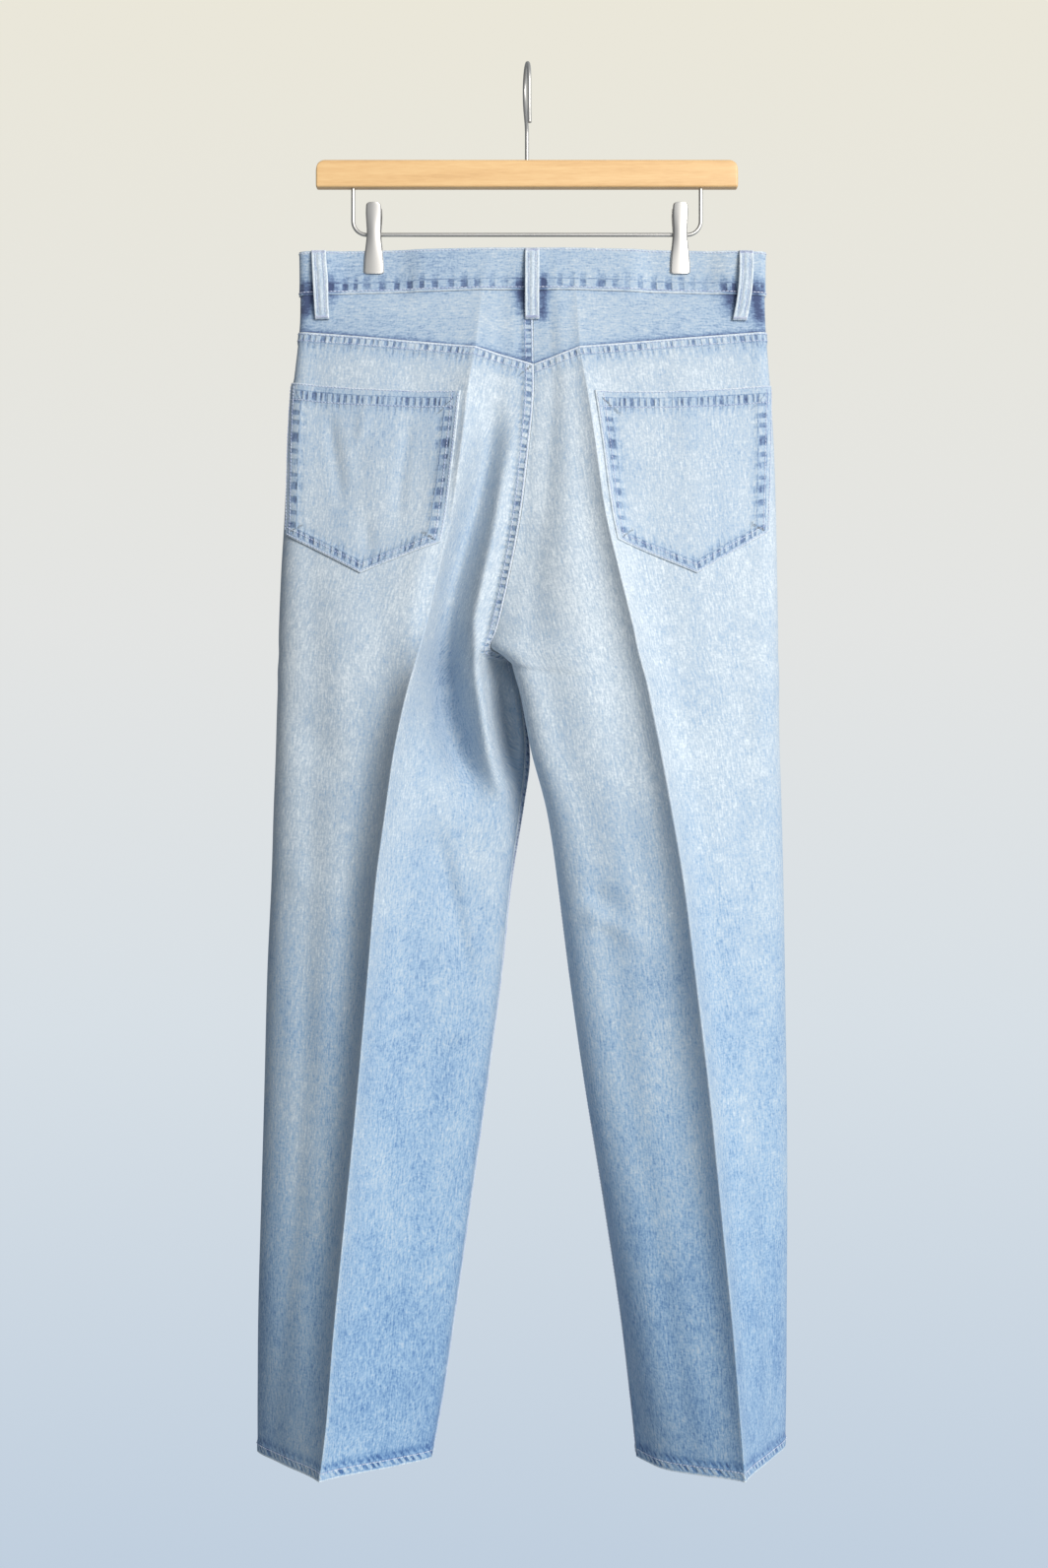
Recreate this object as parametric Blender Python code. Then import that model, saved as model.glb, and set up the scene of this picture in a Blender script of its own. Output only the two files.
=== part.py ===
"""Jeans hung by the waist from a wooden clip hanger, seen from the back.

Metres, +Z up, -Y towards the back of the garment, +X to the wearer's right.
The origin is the inside of the hook's crest, where the hanger rests on a rail.

The cloth is one surface per leg and face. Three seam and crease lines run down
it: the outseam, the pressed crease and the inner line, which is the rise seam
above the crotch and the inseam below it. Each level joins them with two curved
facets, and folds, clip marks and thick seams are added on top. Every sewn piece
is a patch of that surface with its own thickness.
"""
import math

import bmesh
import bpy
import numpy as np
from mathutils import Matrix, Vector

MM = 0.001

# Cloth, in millimetres
CLOTH = 1.5            # one layer of denim
BAND_LIFT = 0.9        # the waistband stands out from the panels by this much
BAND_WALL = 2.6        # folded waistband
SEAM_GAP = 0.3         # between two sewn pieces
LAY_GAP = 0.6          # between a piece and the panel that it lies on
SEAM_RAISE = 0.8       # extra height of a felled seam
FELL_WIDTH = 11.0      # width of a felled seam
HEM_WALL = 2.8
PINCH_REACH = 14.0     # distance over which the pinch of a pressed crease dies away

# Hanger, in millimetres
BAR_LENGTH, BAR_HEIGHT, BAR_DEPTH = 372.0, 24.0, 12.0
BAR_TOP = -84.0
BAR_CORNER = 8.0
WIRE = 3.5
HOOK_RADIUS = 19.0     # centre of the wire at the crest
HOOK_TURN = math.radians(-6)
SOCKET = 1.9           # radius of the bored holes in the bar
TIP_Z = -56.0
WIRE_REACH = 153.5     # half the width of the clip wire
WIRE_Z = -149.0
WIRE_CORNER = 12.0
CLIP_X = 135.0
CLIP_TOP, CLIP_BOTTOM = -122.5, -184.5
CLIP_PLATE = 1.2
CLIP_GRIP = 2.2        # half the thickness of the cloth in the jaws, less the waistband's lift

# Sewn details, in millimetres
POCKET_LIFT = 1.0
LOOP_WIDTH = 12.5
LOOP_WALL = 2.0
LOOP_BOW = 3.2         # clearance under the middle of a belt loop
BAND_LAP = 22.0        # the left end of the waistband passes the centre front by this much
FLY_LENGTH, FLY_WIDTH, FLY_LAP = 165.0, 38.0, 7.0
BUTTON_RADIUS = 8.5

# Lines down the cloth, one row for each level, in millimetres
# Outseams: z, left x, left y, right x, right y
OUTSEAM = np.array([
    (-165, -200, 0, 210, 0),
    (-204, -200, 0, 210, 0),
    (-236, -201, 0, 211, 0),
    (-290, -207, 0, 215, 0),
    (-340, -211, 0, 218, 0),
    (-400, -214, 0, 220, 1),
    (-450, -217, 0, 221, 2),
    (-500, -219, 0, 222, 3),
    (-520, -219, 0, 222, 3),
    (-535, -220, 0, 223, 4),
    (-550, -220, 0, 223, 4),
    (-575, -221, 1, 223, 5),
    (-610, -222, 1, 224, 7),
    (-660, -224, 2, 226, 10),
    (-720, -226, 4, 228, 14),
    (-800, -230, 7, 230, 19),
    (-900, -233, 11, 232, 24),
    (-1000, -236, 14, 233, 28),
    (-1100, -239, 17, 233, 32),
    (-1175, -240, 19, 233, 35),
    (-1228, -240, 20, 232, 37),
], float)
# Back creases: z, left x, right x, depth towards the viewer
BACK_CREASE = np.array([
    (-162, -33, 38, 6),
    (-200, -39, 43, 11),
    (-252, -45, 46, 24),
    (-290, -51, 52, 36),
    (-340, -56, 59, 50),
    (-400, -64, 67, 62),
    (-450, -76, 78, 72),
    (-500, -87, 90, 79),
    (-520, -92, 94, 81),
    (-535, -96, 98, 82),
    (-550, -100, 102, 83),
    (-575, -106, 107, 84),
    (-610, -113, 114, 85),
    (-660, -120, 123, 86),
    (-720, -128, 133, 86),
    (-800, -135, 143, 85),
    (-900, -144, 155, 83),
    (-1000, -154, 165, 81),
    (-1100, -164, 175, 79),
    (-1175, -170, 181, 78),
    (-1226, -176, 185, 78),
], float)
# Front creases: z, left x, right x, depth away from the viewer
FRONT_CREASE = np.array([
    (-162, -95, 105, 6),
    (-202, -97, 107, 11),
    (-240, -99, 108, 18),
    (-290, -101, 110, 28),
    (-340, -103, 111, 38),
    (-400, -105, 112, 49),
    (-450, -107, 113, 57),
    (-500, -109, 114, 63),
    (-520, -110, 114, 65),
    (-535, -111, 115, 67),
    (-550, -112, 115, 68),
    (-575, -113, 116, 70),
    (-610, -115, 117, 73),
    (-660, -117, 118, 76),
    (-720, -120, 120, 79),
    (-800, -123, 122, 82),
    (-900, -128, 125, 85),
    (-1000, -132, 128, 87),
    (-1100, -137, 131, 89),
    (-1175, -140, 133, 90),
    (-1227, -142, 134, 91),
], float)
# Back rise seam from waist to crotch point: z, x, y
BACK_RISE = np.array([
    (-162, 5, -6),
    (-200, 5, -10),
    (-267, 6, -20),
    (-296, 6, -26),
    (-340, 2, -33),
    (-400, -5, -40),
    (-450, -14, -44),
    (-498, -25, -44),
    (-514, -32, -38),
    (-519, -25, -20),
    (-521, -13, 0),
], float)
# Front rise seam from waist to crotch point: z, x, y
FRONT_RISE = np.array([
    (-162, 5, 6),
    (-201, 5, 10),
    (-240, 5, 14),
    (-290, 4, 19),
    (-340, 2, 23),
    (-400, -2, 26),
    (-450, -6, 27),
    (-492, -10, 25),
    (-509, -13, 19),
    (-517, -14, 10),
    (-521, -13, 0),
], float)
# Inseams below the crotch point: z, left x, left y, left turn, right x, right y, right turn
INSEAM = np.array([
    (-552, -7, 3, 12, 0, 5, 24),
    (-605, -2, 4, 18, 9, 8, 26),
    (-658, -7, 4, 10, 20, 10, 26),
    (-720, -15, 4, 0, 28, 11, 25),
    (-800, -23, 5, 0, 38, 11, 25),
    (-900, -36, 6, 0, 52, 11, 25),
    (-1000, -50, 7, 0, 68, 11, 25),
    (-1100, -64, 8, 0, 83, 10, 25),
    (-1175, -75, 8, 0, 92, 10, 25),
    (-1231, -85, 8, 0, 98, 10, 25),
], float)
LEVELS = len(OUTSEAM)
CROTCH = len(BACK_RISE) - 1

# Bend of the inner side below the seat: level, corner's offset from the inner line,
# and the rounding before and after the corner
BACK_LEFT_BEND = np.array([
    (0, -6, 0, 0, 6, 6),
    (2, -9, 0, 0, 8, 6),
    (4, -13, 1, 0, 8, 7),
    (6, -14, 2, -4, 8, 8),
    (7, -18, 2, -8, 9, 9),
    (8, -17, -6, -12, 9, 9),
    (9, -22, -22, -16, 9, 12),
    (10, -30, -40, -24, 9, 14),
    (11, -31, -38, -26, 9, 16),
    (12, -26, -30, -10, 10, 20),
    (13, -10, -24, -4, 18, 20),
    (14, -1, -20, 0, 28, 18),
    (16, 0, -20, 0, 32, 18),
    (18, -1, -16, 0, 26, 14),
    (20, -4, -9, 0, 18, 8),
], float)
BACK_RIGHT_BEND = np.array([
    (0, 6, 0, 0, 6, 6),
    (6, 9, -3, 0, 9, 8),
    (7, 12, -9, -2, 12, 14),
    (8, 13, -22, -4, 16, 20),
    (9, 8, -45, -8, 20, 28),
    (10, -2, -68, -14, 23, 34),
    (11, -11, -77, -8, 24, 38),
    (12, -9, -80, -3, 26, 40),
    (13, -5, -78, 0, 28, 42),
    (14, -2, -74, 0, 30, 42),
    (16, -3, -62, 0, 34, 40),
    (18, 6, -52, 0, 32, 34),
    (19, 16, -48, 0, 28, 28),
    (20, 24, -44, 0, 26, 20),
], float)
FRONT_BEND = np.array([
    (0, 6, 0, 0, 6, 6),
    (6, 8, 0, 0, 8, 6),
    (7, 10, 1, 0, 9, 7),
    (8, 14, 6, -6, 12, 9),
    (9, 20, 16, -12, 16, 14),
    (10, 16, 30, -22, 22, 24),
    (11, 4, 28, -12, 28, 22),
    (12, 0, 24, -4, 32, 20),
    (13, 0, 22, 0, 34, 20),
    (14.5, 0, 22, 0, 34, 20),
    (20, 0, 22, 0, 36, 20),
], float)
FRONT_LEFT_BEND = FRONT_BEND * (1, -1, 1, 1, 1, 1)
FRONT_LEFT_BEND[6:10, 1] = (4, 13, 9, 2)
# How far the outer side rolls round the outseam, and how far each facet bulges: heights down, millimetres
OUTER_BEND = ((165, 240, 290, 500, 800, 1228), (4.5, 6, 8, 12, 16, 18))
# How far the side of a leg stands out beyond that roll, and how much narrower it is there
OUTER_FULL = ((165, 240, 290, 400, 500, 620, 800, 950, 1080, 1180, 1228),
              (0, 2, 6, 14, 22, 30, 32, 28, 16, -2, -10))
SIDE_LEAN = 0.115
# Depth of the pinch beside a pressed crease: heights down, outer facet, inner facet
PINCH = ((165, 240, 340, 450, 600, 800, 1000, 1120, 1228),
         (0, 2, 10, 20, 32, 35, 30, 18, 6), (0, 2, 9, 16, 24, 26, 23, 16, 6))
BULGE = {
    "back_left": ((165, 290, 400, 500, 560, 640, 800, 1228), (0, -2, -5, -6, -6, -3, -1, 1)),
    "back_right": ((165, 290, 400, 500, 600, 800, 1228), (0, 3, 6, 5, 5, 4, 1)),
    "front_left": ((165, 290, 500, 700, 1228), (0, 0, -5, -4, -3)),
    "front_right": ((165, 290, 500, 700, 1228), (0, 0, -5, -4, -3)),
}
OUTER_BULGE = ((165, 290, 500, 800, 1100, 1228), (0, 2, 5, 6, 4, 1))

# Folds of the cloth: face, then points of a line with x, z, height and half width
FOLDS = (
    ("back_left", ((-10, -305, 0, 6), (-14, -340, 4, 7), (-22, -378, 6, 7), (-28, -416, 7, 7),
                   (-37, -455, 8, 7), (-45, -492, 9, 7), (-45, -517, 11, 7), (-42, -548, 15, 8),
                   (-37, -582, 16, 8), (-32, -611, 13, 8), (-25, -632, 8, 8), (-12, -660, 0, 8))),
    ("back_left", ((-30, -528, 0, 7), (-24, -550, -6, 9), (-20, -572, -12, 10),
                   (-16, -597, -12, 9), (-12, -632, 0, 7))),
    ("back_left", ((-30, -296, 0, 10), (-35, -340, -12, 12), (-44, -378, -19, 14), (-56, -416, -27, 16),
                   (-67, -455, -35, 17), (-73, -492, -41, 18), (-75, -531, -45, 18.5),
                   (-71, -568, -44, 18.5),
                   (-61, -604, -33, 17), (-49, -635, -12, 15), (-40, -665, 0, 14))),
    ("back_left", ((-88, -665, 0, 18), (-78, -690, -4, 18), (-60, -735, -4, 16), (-48, -780, 0, 14))),
    ("back_right", ((48, -742, 0, 8), (60, -750, 3.5, 9), (92, -766, 2, 10), (112, -775, 0, 10))),
    ("back_right", ((48, -722, 0, 8), (60, -730, -3, 9), (90, -742, 0, 10))),
    ("back_right", ((24, -380, 0, 22), (34, -450, 4, 24), (48, -540, 4, 26), (62, -620, 0, 26))),
    ("front_left", ((-40, -490, 0, 12), (-56, -520, 5, 12), (-84, -570, 0, 12))),
    ("front_right", ((40, -490, 0, 12), (58, -520, 5, 12), (90, -575, 0, 12))),
    ("front_right", ((58, -738, 0, 10), (78, -752, -3, 10), (100, -770, 0, 10))),
)

# Outlines of the back pockets: position and height of the outer top, inner top,
# inner bottom, tip and outer bottom
POCKETS = {
    "left": ((-0.972, -281), (-0.035, -293), (-0.03, -425), (-0.41, -452), (-0.88, -415)),
    "right": ((-0.955, -284), (-0.035, -293), (-0.03, -424), (-0.41, -452), (-0.84, -413)),
}
# Belt loops: face, x at the top and at the bottom, heights of the top and of the bottom
LOOPS = {
    "belt_loop_back_left": ("back_left", -183.5, -179.5, -163.5, -226),
    "belt_loop_back_right": ("back_right", 193.0, 186.5, -164.0, -227),
    "belt_loop_front_left": ("front_left", -76.0, -76.0, -163.0, -226),
    "belt_loop_front_right": ("front_right", 86.0, 86.0, -163.0, -226),
}

FACET_SAMPLES = 48     # master grid columns for each facet
LEVEL_SAMPLES = 16     # master grid rows for each level


# Levels and positions of the cloth's own points
COLUMNS = np.array([-1, -.97, -.92, -.83, -.70, -.50, -.30, -.12, -.035, 0,
                    .035, .12, .32, .54, .72, .85, .93, .97, 1])
BACK_LEFT_COLUMNS = np.array([*COLUMNS[:12], .21, .30, .39, .48, .57, .65, .73, .80, .86, .92, .96, 1])
CROTCH_ROWS = (5, 5.8, 6.5, 7.1, 7.6, 8.1, 8.6, 9.1, 9.55, 10, 10.45, 10.9, 11.4, 12, 12.7, 14)
BACK_ROWS = np.array([2.003, 2.5, 3, 3.5, 4, 4.5, *CROTCH_ROWS, 15, 16, 17, 18.3, 19.3, 19.83, 20])
FRONT_ROWS = np.array([1.004, 1.5, *BACK_ROWS])
BAND_ROWS = np.linspace(0, 0.996, 5)
YOKE_ROWS = np.linspace(1.004, 1.997, 5)
SCOOP_DEPTH, SCOOP_REACH = 72.0, 0.60     # front pocket opening: depth, and reach along the facet


def along(rows, at):
    """Cubic curve through the rows of a table, each level being one step of the parameter."""
    count = len(rows)
    slope = np.gradient(rows, axis=0)
    low = np.clip(np.floor(at).astype(int), 0, count - 2)
    t = (at - low)[..., None]
    a, b = rows[low], rows[low + 1]
    ma, mb = slope[low], slope[low + 1]
    return (a * (1 + 2 * t) * (1 - t) ** 2 + ma * t * (1 - t) ** 2
            + b * t * t * (3 - 2 * t) - mb * t * t * (1 - t))


def smooth(value, low, high):
    t = np.clip((value - low) / (high - low), 0, 1)
    return t * t * (3 - 2 * t)


def soften(rows, reach):
    """Running mean down the levels, with the ends held."""
    padded = np.vstack([rows[:1].repeat(reach, axis=0), rows, rows[-1:].repeat(reach, axis=0)])
    total = np.vstack([np.zeros((1, rows.shape[1])), np.cumsum(padded, axis=0)])
    width = 2 * reach + 1
    return (total[width:] - total[:-width]) / width


def unit(vectors):
    return vectors / np.maximum(np.linalg.norm(vectors, axis=-1, keepdims=True), 1e-9)


def inner_line(face, leg):
    """Points of the rise seam and inseam, and the direction in which the cloth crosses them."""
    toward = 1 if leg == "left" else -1
    rise = BACK_RISE if face == "back" else FRONT_RISE
    column = 1 if leg == "left" else 4
    turn = np.radians(INSEAM[:, column + 2])
    cross = np.stack([np.sin(turn), np.cos(turn), np.zeros(len(turn))], axis=1)
    across = cross if face == "back" else -cross
    points = np.vstack([rise[:, [1, 2, 0]], INSEAM[:, [column, column + 1, 0]]])
    sideways = np.tile((toward, 0.0, 0.0), (CROTCH + 1, 1))
    sideways[-1] += across[0]
    return points, np.vstack([sideways, across])


def facet(start, corner, end, before, after, bulge, count):
    """From a crease to a seam: straight to the corner with a slight bulge, round it, and straight on."""
    into, onward = unit(corner - start), unit(end - corner)
    reach_in = np.linalg.norm(corner - start, axis=1)
    reach_on = np.linalg.norm(end - corner, axis=1)
    leave = corner - into * np.minimum(before, 0.9 * reach_in)[:, None]
    join = corner + onward * np.minimum(after, 0.98 * reach_on)[:, None]
    t = np.linspace(0, 1, 2 * count + 1)[:, None, None]
    flat = start + (leave - start) * t
    flat[..., 1] += bulge[:, None].T * np.sin(math.pi * t[..., 0] ** 1.4) ** 2
    bend = (1 - t) ** 2 * leave + 2 * t * (1 - t) * corner + t ** 2 * join
    line = np.concatenate([flat[:-1], bend[:-1], join + (end - join) * t])
    steps = np.linalg.norm(np.diff(line, axis=0), axis=2)
    reach = np.vstack([np.zeros(len(start)), np.cumsum(steps, axis=0)])
    even = np.linspace(0, 1, count + 1)
    out = np.empty((len(start), count + 1, 3))
    for row in range(len(start)):
        share = reach[:, row] / reach[-1, row]
        for axis in range(3):
            out[row, :, axis] = np.interp(even, share, line[:, row, axis])
    return out, reach[-1]


def fold_relief(name, x, z):
    """Height of the folds of one face at each point, from its distance to each fold's line."""
    relief = np.zeros_like(x)
    for face, line in FOLDS:
        if face != name:
            continue
        nearest = np.full_like(x, 1e9)
        height, width = np.zeros_like(x), np.ones_like(x)
        for (x0, z0, h0, w0), (x1, z1, h1, w1) in zip(line, line[1:]):
            along_x, along_z = x1 - x0, z1 - z0
            t = np.clip(((x - x0) * along_x + (z - z0) * along_z)
                        / (along_x ** 2 + along_z ** 2), 0, 1)
            away = np.hypot(x - x0 - t * along_x, z - z0 - t * along_z)
            closer = away < nearest
            nearest = np.where(closer, away, nearest)
            height = np.where(closer, h0 + (h1 - h0) * t, height)
            width = np.where(closer, w0 + (w1 - w0) * t, width)
        relief += height * np.exp(-(nearest / width) ** 2)
    return relief


class Face:
    """One leg and face of the cloth as a master grid, sampled at any level and position.

    Position -1 is the outseam, 0 the crease and 1 the inner line.
    """

    def __init__(self, face, leg):
        self.name = f"{face}_{leg}"
        out_sign = -1 if face == "back" else 1
        left = leg == "left"
        levels = np.linspace(0, LEVELS - 1, (LEVELS - 1) * LEVEL_SAMPLES + 1)
        outseam = OUTSEAM[:, [1, 2, 0]] if left else OUTSEAM[:, [3, 4, 0]]
        table = BACK_CREASE if face == "back" else FRONT_CREASE
        crease = np.stack([table[:, 1 if left else 2], out_sign * table[:, 3], table[:, 0]], axis=1)
        inner, across = inner_line(face, leg)
        outseam, crease = along(outseam, levels), along(crease, levels)
        rise, seam = levels <= CROTCH, levels > CROTCH
        inner = np.vstack([along(inner[:CROTCH + 1], levels[rise]),
                           along(inner[CROTCH:], levels[seam] - CROTCH)])
        across = unit(along(across, levels)) * SEAM_GAP / 2
        across = across * (1 + 1.6 * np.exp(-((levels[:, None] - CROTCH) / 0.5) ** 2))
        inner, outseam = inner - across, outseam + np.array((0.0, out_sign * SEAM_GAP / 2, 0.0))
        outer_bend = np.interp(-outseam[:, 2], *OUTER_BEND)
        full = np.interp(-outseam[:, 2], *OUTER_FULL)
        lean = -SIDE_LEAN * full * np.sign(outseam[:, 0])
        corner = outseam + np.stack([lean, out_sign * (outer_bend + full), outer_bend * 0], axis=1)
        outer_bulge = out_sign * np.interp(-outseam[:, 2], *OUTER_BULGE)
        outer, outer_length = facet(crease, corner, outseam, 1.6 * outer_bend + 0.3 * full,
                                    outer_bend + 0.6 * full, outer_bulge, FACET_SAMPLES)
        bends = {"back_left": BACK_LEFT_BEND, "back_right": BACK_RIGHT_BEND,
                 "front_left": FRONT_LEFT_BEND, "front_right": FRONT_BEND}[self.name]
        bend = np.stack([np.interp(levels, bends[:, 0], bends[:, k]) for k in range(1, 6)], axis=1)
        bend[:, :3] = soften(bend[:, :3], LEVEL_SAMPLES // 2)
        share = np.abs(bend[:, 0] / (crease[:, 0] - inner[:, 0])) * (1 - smooth(levels, 6, 8))
        bend[:, 2] += (crease[:, 2] - inner[:, 2]) * share
        bulge = out_sign * np.interp(-outseam[:, 2], *BULGE[self.name])
        inside, inner_length = facet(crease, inner + bend[:, :3], inner, bend[:, 3], bend[:, 4],
                                     bulge, FACET_SAMPLES)
        grid = np.concatenate([outer[:, ::-1], inside[:, 1:]], axis=1)
        position = np.linspace(-1, 1, grid.shape[1])
        self.lengths = (outer_length, inner_length)
        distance = np.where(position < 0, -position * outer_length[:, None],
                            position * inner_length[:, None])
        from_edge = 1 - np.abs(position)
        depths = [np.interp(-outseam[:, 2], PINCH[0], PINCH[k])[:, None] for k in (1, 2)]
        pinch = np.where(position < 0, *depths)
        sunk = pinch * (1 - np.exp(-distance / PINCH_REACH)) * from_edge
        window = smooth(from_edge, 0, 0.10)
        relief = fold_relief(self.name, grid[..., 0], grid[..., 2]) * window
        grid[..., 1] += out_sign * (relief - sunk)
        self.press_clips(grid)
        self.grid, self.levels = grid, levels
        normal = np.cross(np.gradient(grid, axis=0), np.gradient(grid, axis=1))
        self.normal = unit(normal) * self.outward(normal, out_sign)
        below = (YOKE_ROWS, BACK_ROWS) if face == "back" else (FRONT_ROWS,)
        self.knots = np.concatenate([BAND_ROWS, *below])
        self.columns = BACK_LEFT_COLUMNS if self.name == "back_left" else COLUMNS
        self.flat = self.sample(self.knots[:, None], self.columns[None], grid)

    @staticmethod
    def press_clips(grid):
        """The clip jaws hold both layers together at the waistband."""
        near = 1 - smooth(np.abs(np.abs(grid[..., 0]) - CLIP_X), 23, 44)
        near = near * smooth(grid[..., 2], -216, -186)
        flat = np.sign(grid[..., 1]) * CLIP_GRIP
        grid[..., 1] += (flat - grid[..., 1]) * near

    @staticmethod
    def outward(normal, out_sign):
        return 1.0 if np.mean(normal[..., 1]) * out_sign > 0 else -1.0

    def seam_normals(self, other, column, rows):
        """Gives both sides of a seam the same direction of thickness, square to the gap between them."""
        gap = unit(other.grid[rows, column] - self.grid[rows, column])
        shared = self.normal[rows, column] + other.normal[rows, column]
        shared = unit(shared - gap * np.sum(shared * gap, axis=1, keepdims=True))
        self.normal[rows, column] = shared
        other.normal[rows, column] = shared

    def level_at(self, z):
        """Level at which the outseam has this height."""
        return np.interp(-np.asarray(z, float), -OUTSEAM[:, 0], np.arange(LEVELS))

    def sample(self, level, position, values):
        row = np.clip(np.asarray(level, float) * LEVEL_SAMPLES, 0, len(self.levels) - 1)
        column = np.clip((np.asarray(position, float) + 1) * FACET_SAMPLES, 0, 2 * FACET_SAMPLES)
        row, column = np.broadcast_arrays(row, column)
        i = np.minimum(row.astype(int), len(self.levels) - 2)
        j = np.minimum(column.astype(int), 2 * FACET_SAMPLES - 1)
        a, b = (row - i)[..., None], (column - j)[..., None]
        return ((values[i, j] * (1 - a) + values[i + 1, j] * a) * (1 - b)
                + (values[i, j + 1] * (1 - a) + values[i + 1, j + 1] * a) * b)

    def on_cloth(self, level, position):
        """Points on the flat facets between the cloth's own points."""
        level, position = np.broadcast_arrays(np.asarray(level, float), np.asarray(position, float))
        i = np.clip(np.searchsorted(self.knots, level, side="right") - 1, 0, len(self.knots) - 2)
        j = np.clip(np.searchsorted(self.columns, position, side="right") - 1, 0, len(self.columns) - 2)
        a = ((level - self.knots[i]) / (self.knots[i + 1] - self.knots[i]))[..., None]
        b = ((position - self.columns[j]) / (self.columns[j + 1] - self.columns[j]))[..., None]
        return ((self.flat[i, j] * (1 - a) + self.flat[i + 1, j] * a) * (1 - b)
                + (self.flat[i, j + 1] * (1 - a) + self.flat[i + 1, j + 1] * a) * b)

    def points(self, level, position, lift=0.0):
        """Points of the cloth, moved outwards by lift."""
        normal = unit(self.sample(level, position, self.normal))
        return self.on_cloth(level, position) + normal * np.asarray(lift, float)[..., None]

    def from_inner(self, level, distance):
        """Position that lies this far from the inner line."""
        rows = np.arange(len(self.levels)) / LEVEL_SAMPLES
        return 1 - distance / np.interp(level, rows, self.lengths[1])

    def from_outer(self, level, distance):
        """Position that lies this far from the outseam."""
        rows = np.arange(len(self.levels)) / LEVEL_SAMPLES
        return -1 + distance / np.interp(level, rows, self.lengths[0])

    def locate(self, x, z, position):
        """Level and position of the point with this x and z, by Newton steps from a first position."""
        x, z = np.broadcast_arrays(np.asarray(x, float), np.asarray(z, float))
        level = self.level_at(z)
        position = np.full(x.shape, float(position))
        for _ in range(12):
            here = self.sample(level, position, self.grid)
            down = (self.sample(level + 0.02, position, self.grid) - here) / 0.02
            side = (self.sample(level, position + 0.01, self.grid) - here) / 0.01
            dx, dz = x - here[..., 0], z - here[..., 2]
            det = down[..., 0] * side[..., 2] - down[..., 2] * side[..., 0]
            level = np.clip(level + (dx * side[..., 2] - dz * side[..., 0]) / det, 0, LEVELS - 1)
            position = position + (down[..., 0] * dz - down[..., 2] * dx) / det
            position = np.clip(position, -1, 1)
        return level, position


def make_faces():
    faces = {f"{f}_{s}": Face(f, s) for f in ("back", "front") for s in ("left", "right")}
    crotch = CROTCH * LEVEL_SAMPLES
    for leg in ("left", "right"):
        faces[f"back_{leg}"].seam_normals(faces[f"front_{leg}"], 0, slice(None))
        faces[f"back_{leg}"].seam_normals(faces[f"front_{leg}"], -1, slice(crotch + 1, None))
    for face in ("back", "front"):
        faces[f"{face}_left"].seam_normals(faces[f"{face}_right"], -1, slice(0, crotch + 1))
    meeting = unit(sum(face.normal[crotch, -1] for face in faces.values()))
    for face in faces.values():
        face.normal[crotch, -1] = meeting
    return faces


def material(name, colour, roughness, metallic=0.0):
    made = bpy.data.materials.new(name)
    made.use_nodes = True
    shader = made.node_tree.nodes["Principled BSDF"]
    shader.inputs["Base Color"].default_value = (*colour, 1)
    shader.inputs["Roughness"].default_value = roughness
    shader.inputs["Metallic"].default_value = metallic
    return made


def add_mesh(name, points, faces, finish):
    """An object from points in millimetres. Its faces are turned outwards."""
    mesh = bpy.data.meshes.new(name)
    mesh.from_pydata([tuple(p) for p in np.asarray(points) * MM], [], faces)
    work = bmesh.new()
    work.from_mesh(mesh)
    bmesh.ops.triangulate(work, faces=work.faces)
    bmesh.ops.recalc_face_normals(work, faces=work.faces)
    work.to_mesh(mesh)
    work.free()
    mesh.materials.append(finish)
    made = bpy.data.objects.new(name, mesh)
    bpy.context.scene.collection.objects.link(made)
    return made


def shell(name, outer, inner, finish):
    """A closed wall between two grids of points with the same rows and columns."""
    rows, columns = outer.shape[:2]
    index = np.arange(rows * columns).reshape(rows, columns)
    back = index + rows * columns
    faces = []
    for i in range(rows - 1):
        for j in range(columns - 1):
            faces.append((index[i, j], index[i, j + 1], index[i + 1, j + 1], index[i + 1, j]))
            faces.append((back[i, j], back[i + 1, j], back[i + 1, j + 1], back[i, j + 1]))
    ring = [*index[0], *index[1:, -1], *index[-1, -2::-1], *index[-2:0:-1, 0]]
    for a, b in zip(ring, ring[1:] + ring[:1]):
        faces.append((b, a, a + rows * columns, b + rows * columns))
    points = np.concatenate([outer.reshape(-1, 3), inner.reshape(-1, 3)])
    return add_mesh(name, points, [tuple(int(k) for k in f) for f in faces], finish)


def patch(name, face, level, position, finish, lift=0.0, wall=CLOTH):
    """A sewn piece: a patch of a face, its outside at lift and its inside a wall below it."""
    level, position = np.broadcast_arrays(level, position)
    lift = np.broadcast_to(lift, level.shape)
    outer = face.points(level, position, lift)
    inner = face.points(level, position, lift - wall)
    return shell(name, outer, inner, finish)


def even_rows(low, high, count):
    return np.linspace(low, high, count)[:, None]


def hem_wall(level):
    """One layer of cloth, and the turned-up hem at the bottom."""
    return CLOTH + (HEM_WALL - CLOTH) * (level > 19.8)


def back_panel(face, leg, finish):
    level = BACK_ROWS[:, None]
    position = face.columns[None]
    felled = SEAM_RAISE * (level < 9) * (position > face.from_inner(level, FELL_WIDTH) - 0.03)
    lift = felled if leg == "left" else 0.0
    patch(f"back_{leg}", face, level, position, finish, lift, hem_wall(level) + lift)


def scoop(face, position, below):
    """Level of the front pocket's edge at each position, moved down by below."""
    across = np.clip((COLUMNS + 1) / SCOOP_REACH, 0, 1)
    drop = SCOOP_DEPTH * np.sqrt(np.clip(1 - across ** 2.4, 0, 1))
    return face.level_at(-205.0 - np.interp(position, COLUMNS, drop) - below)


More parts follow.
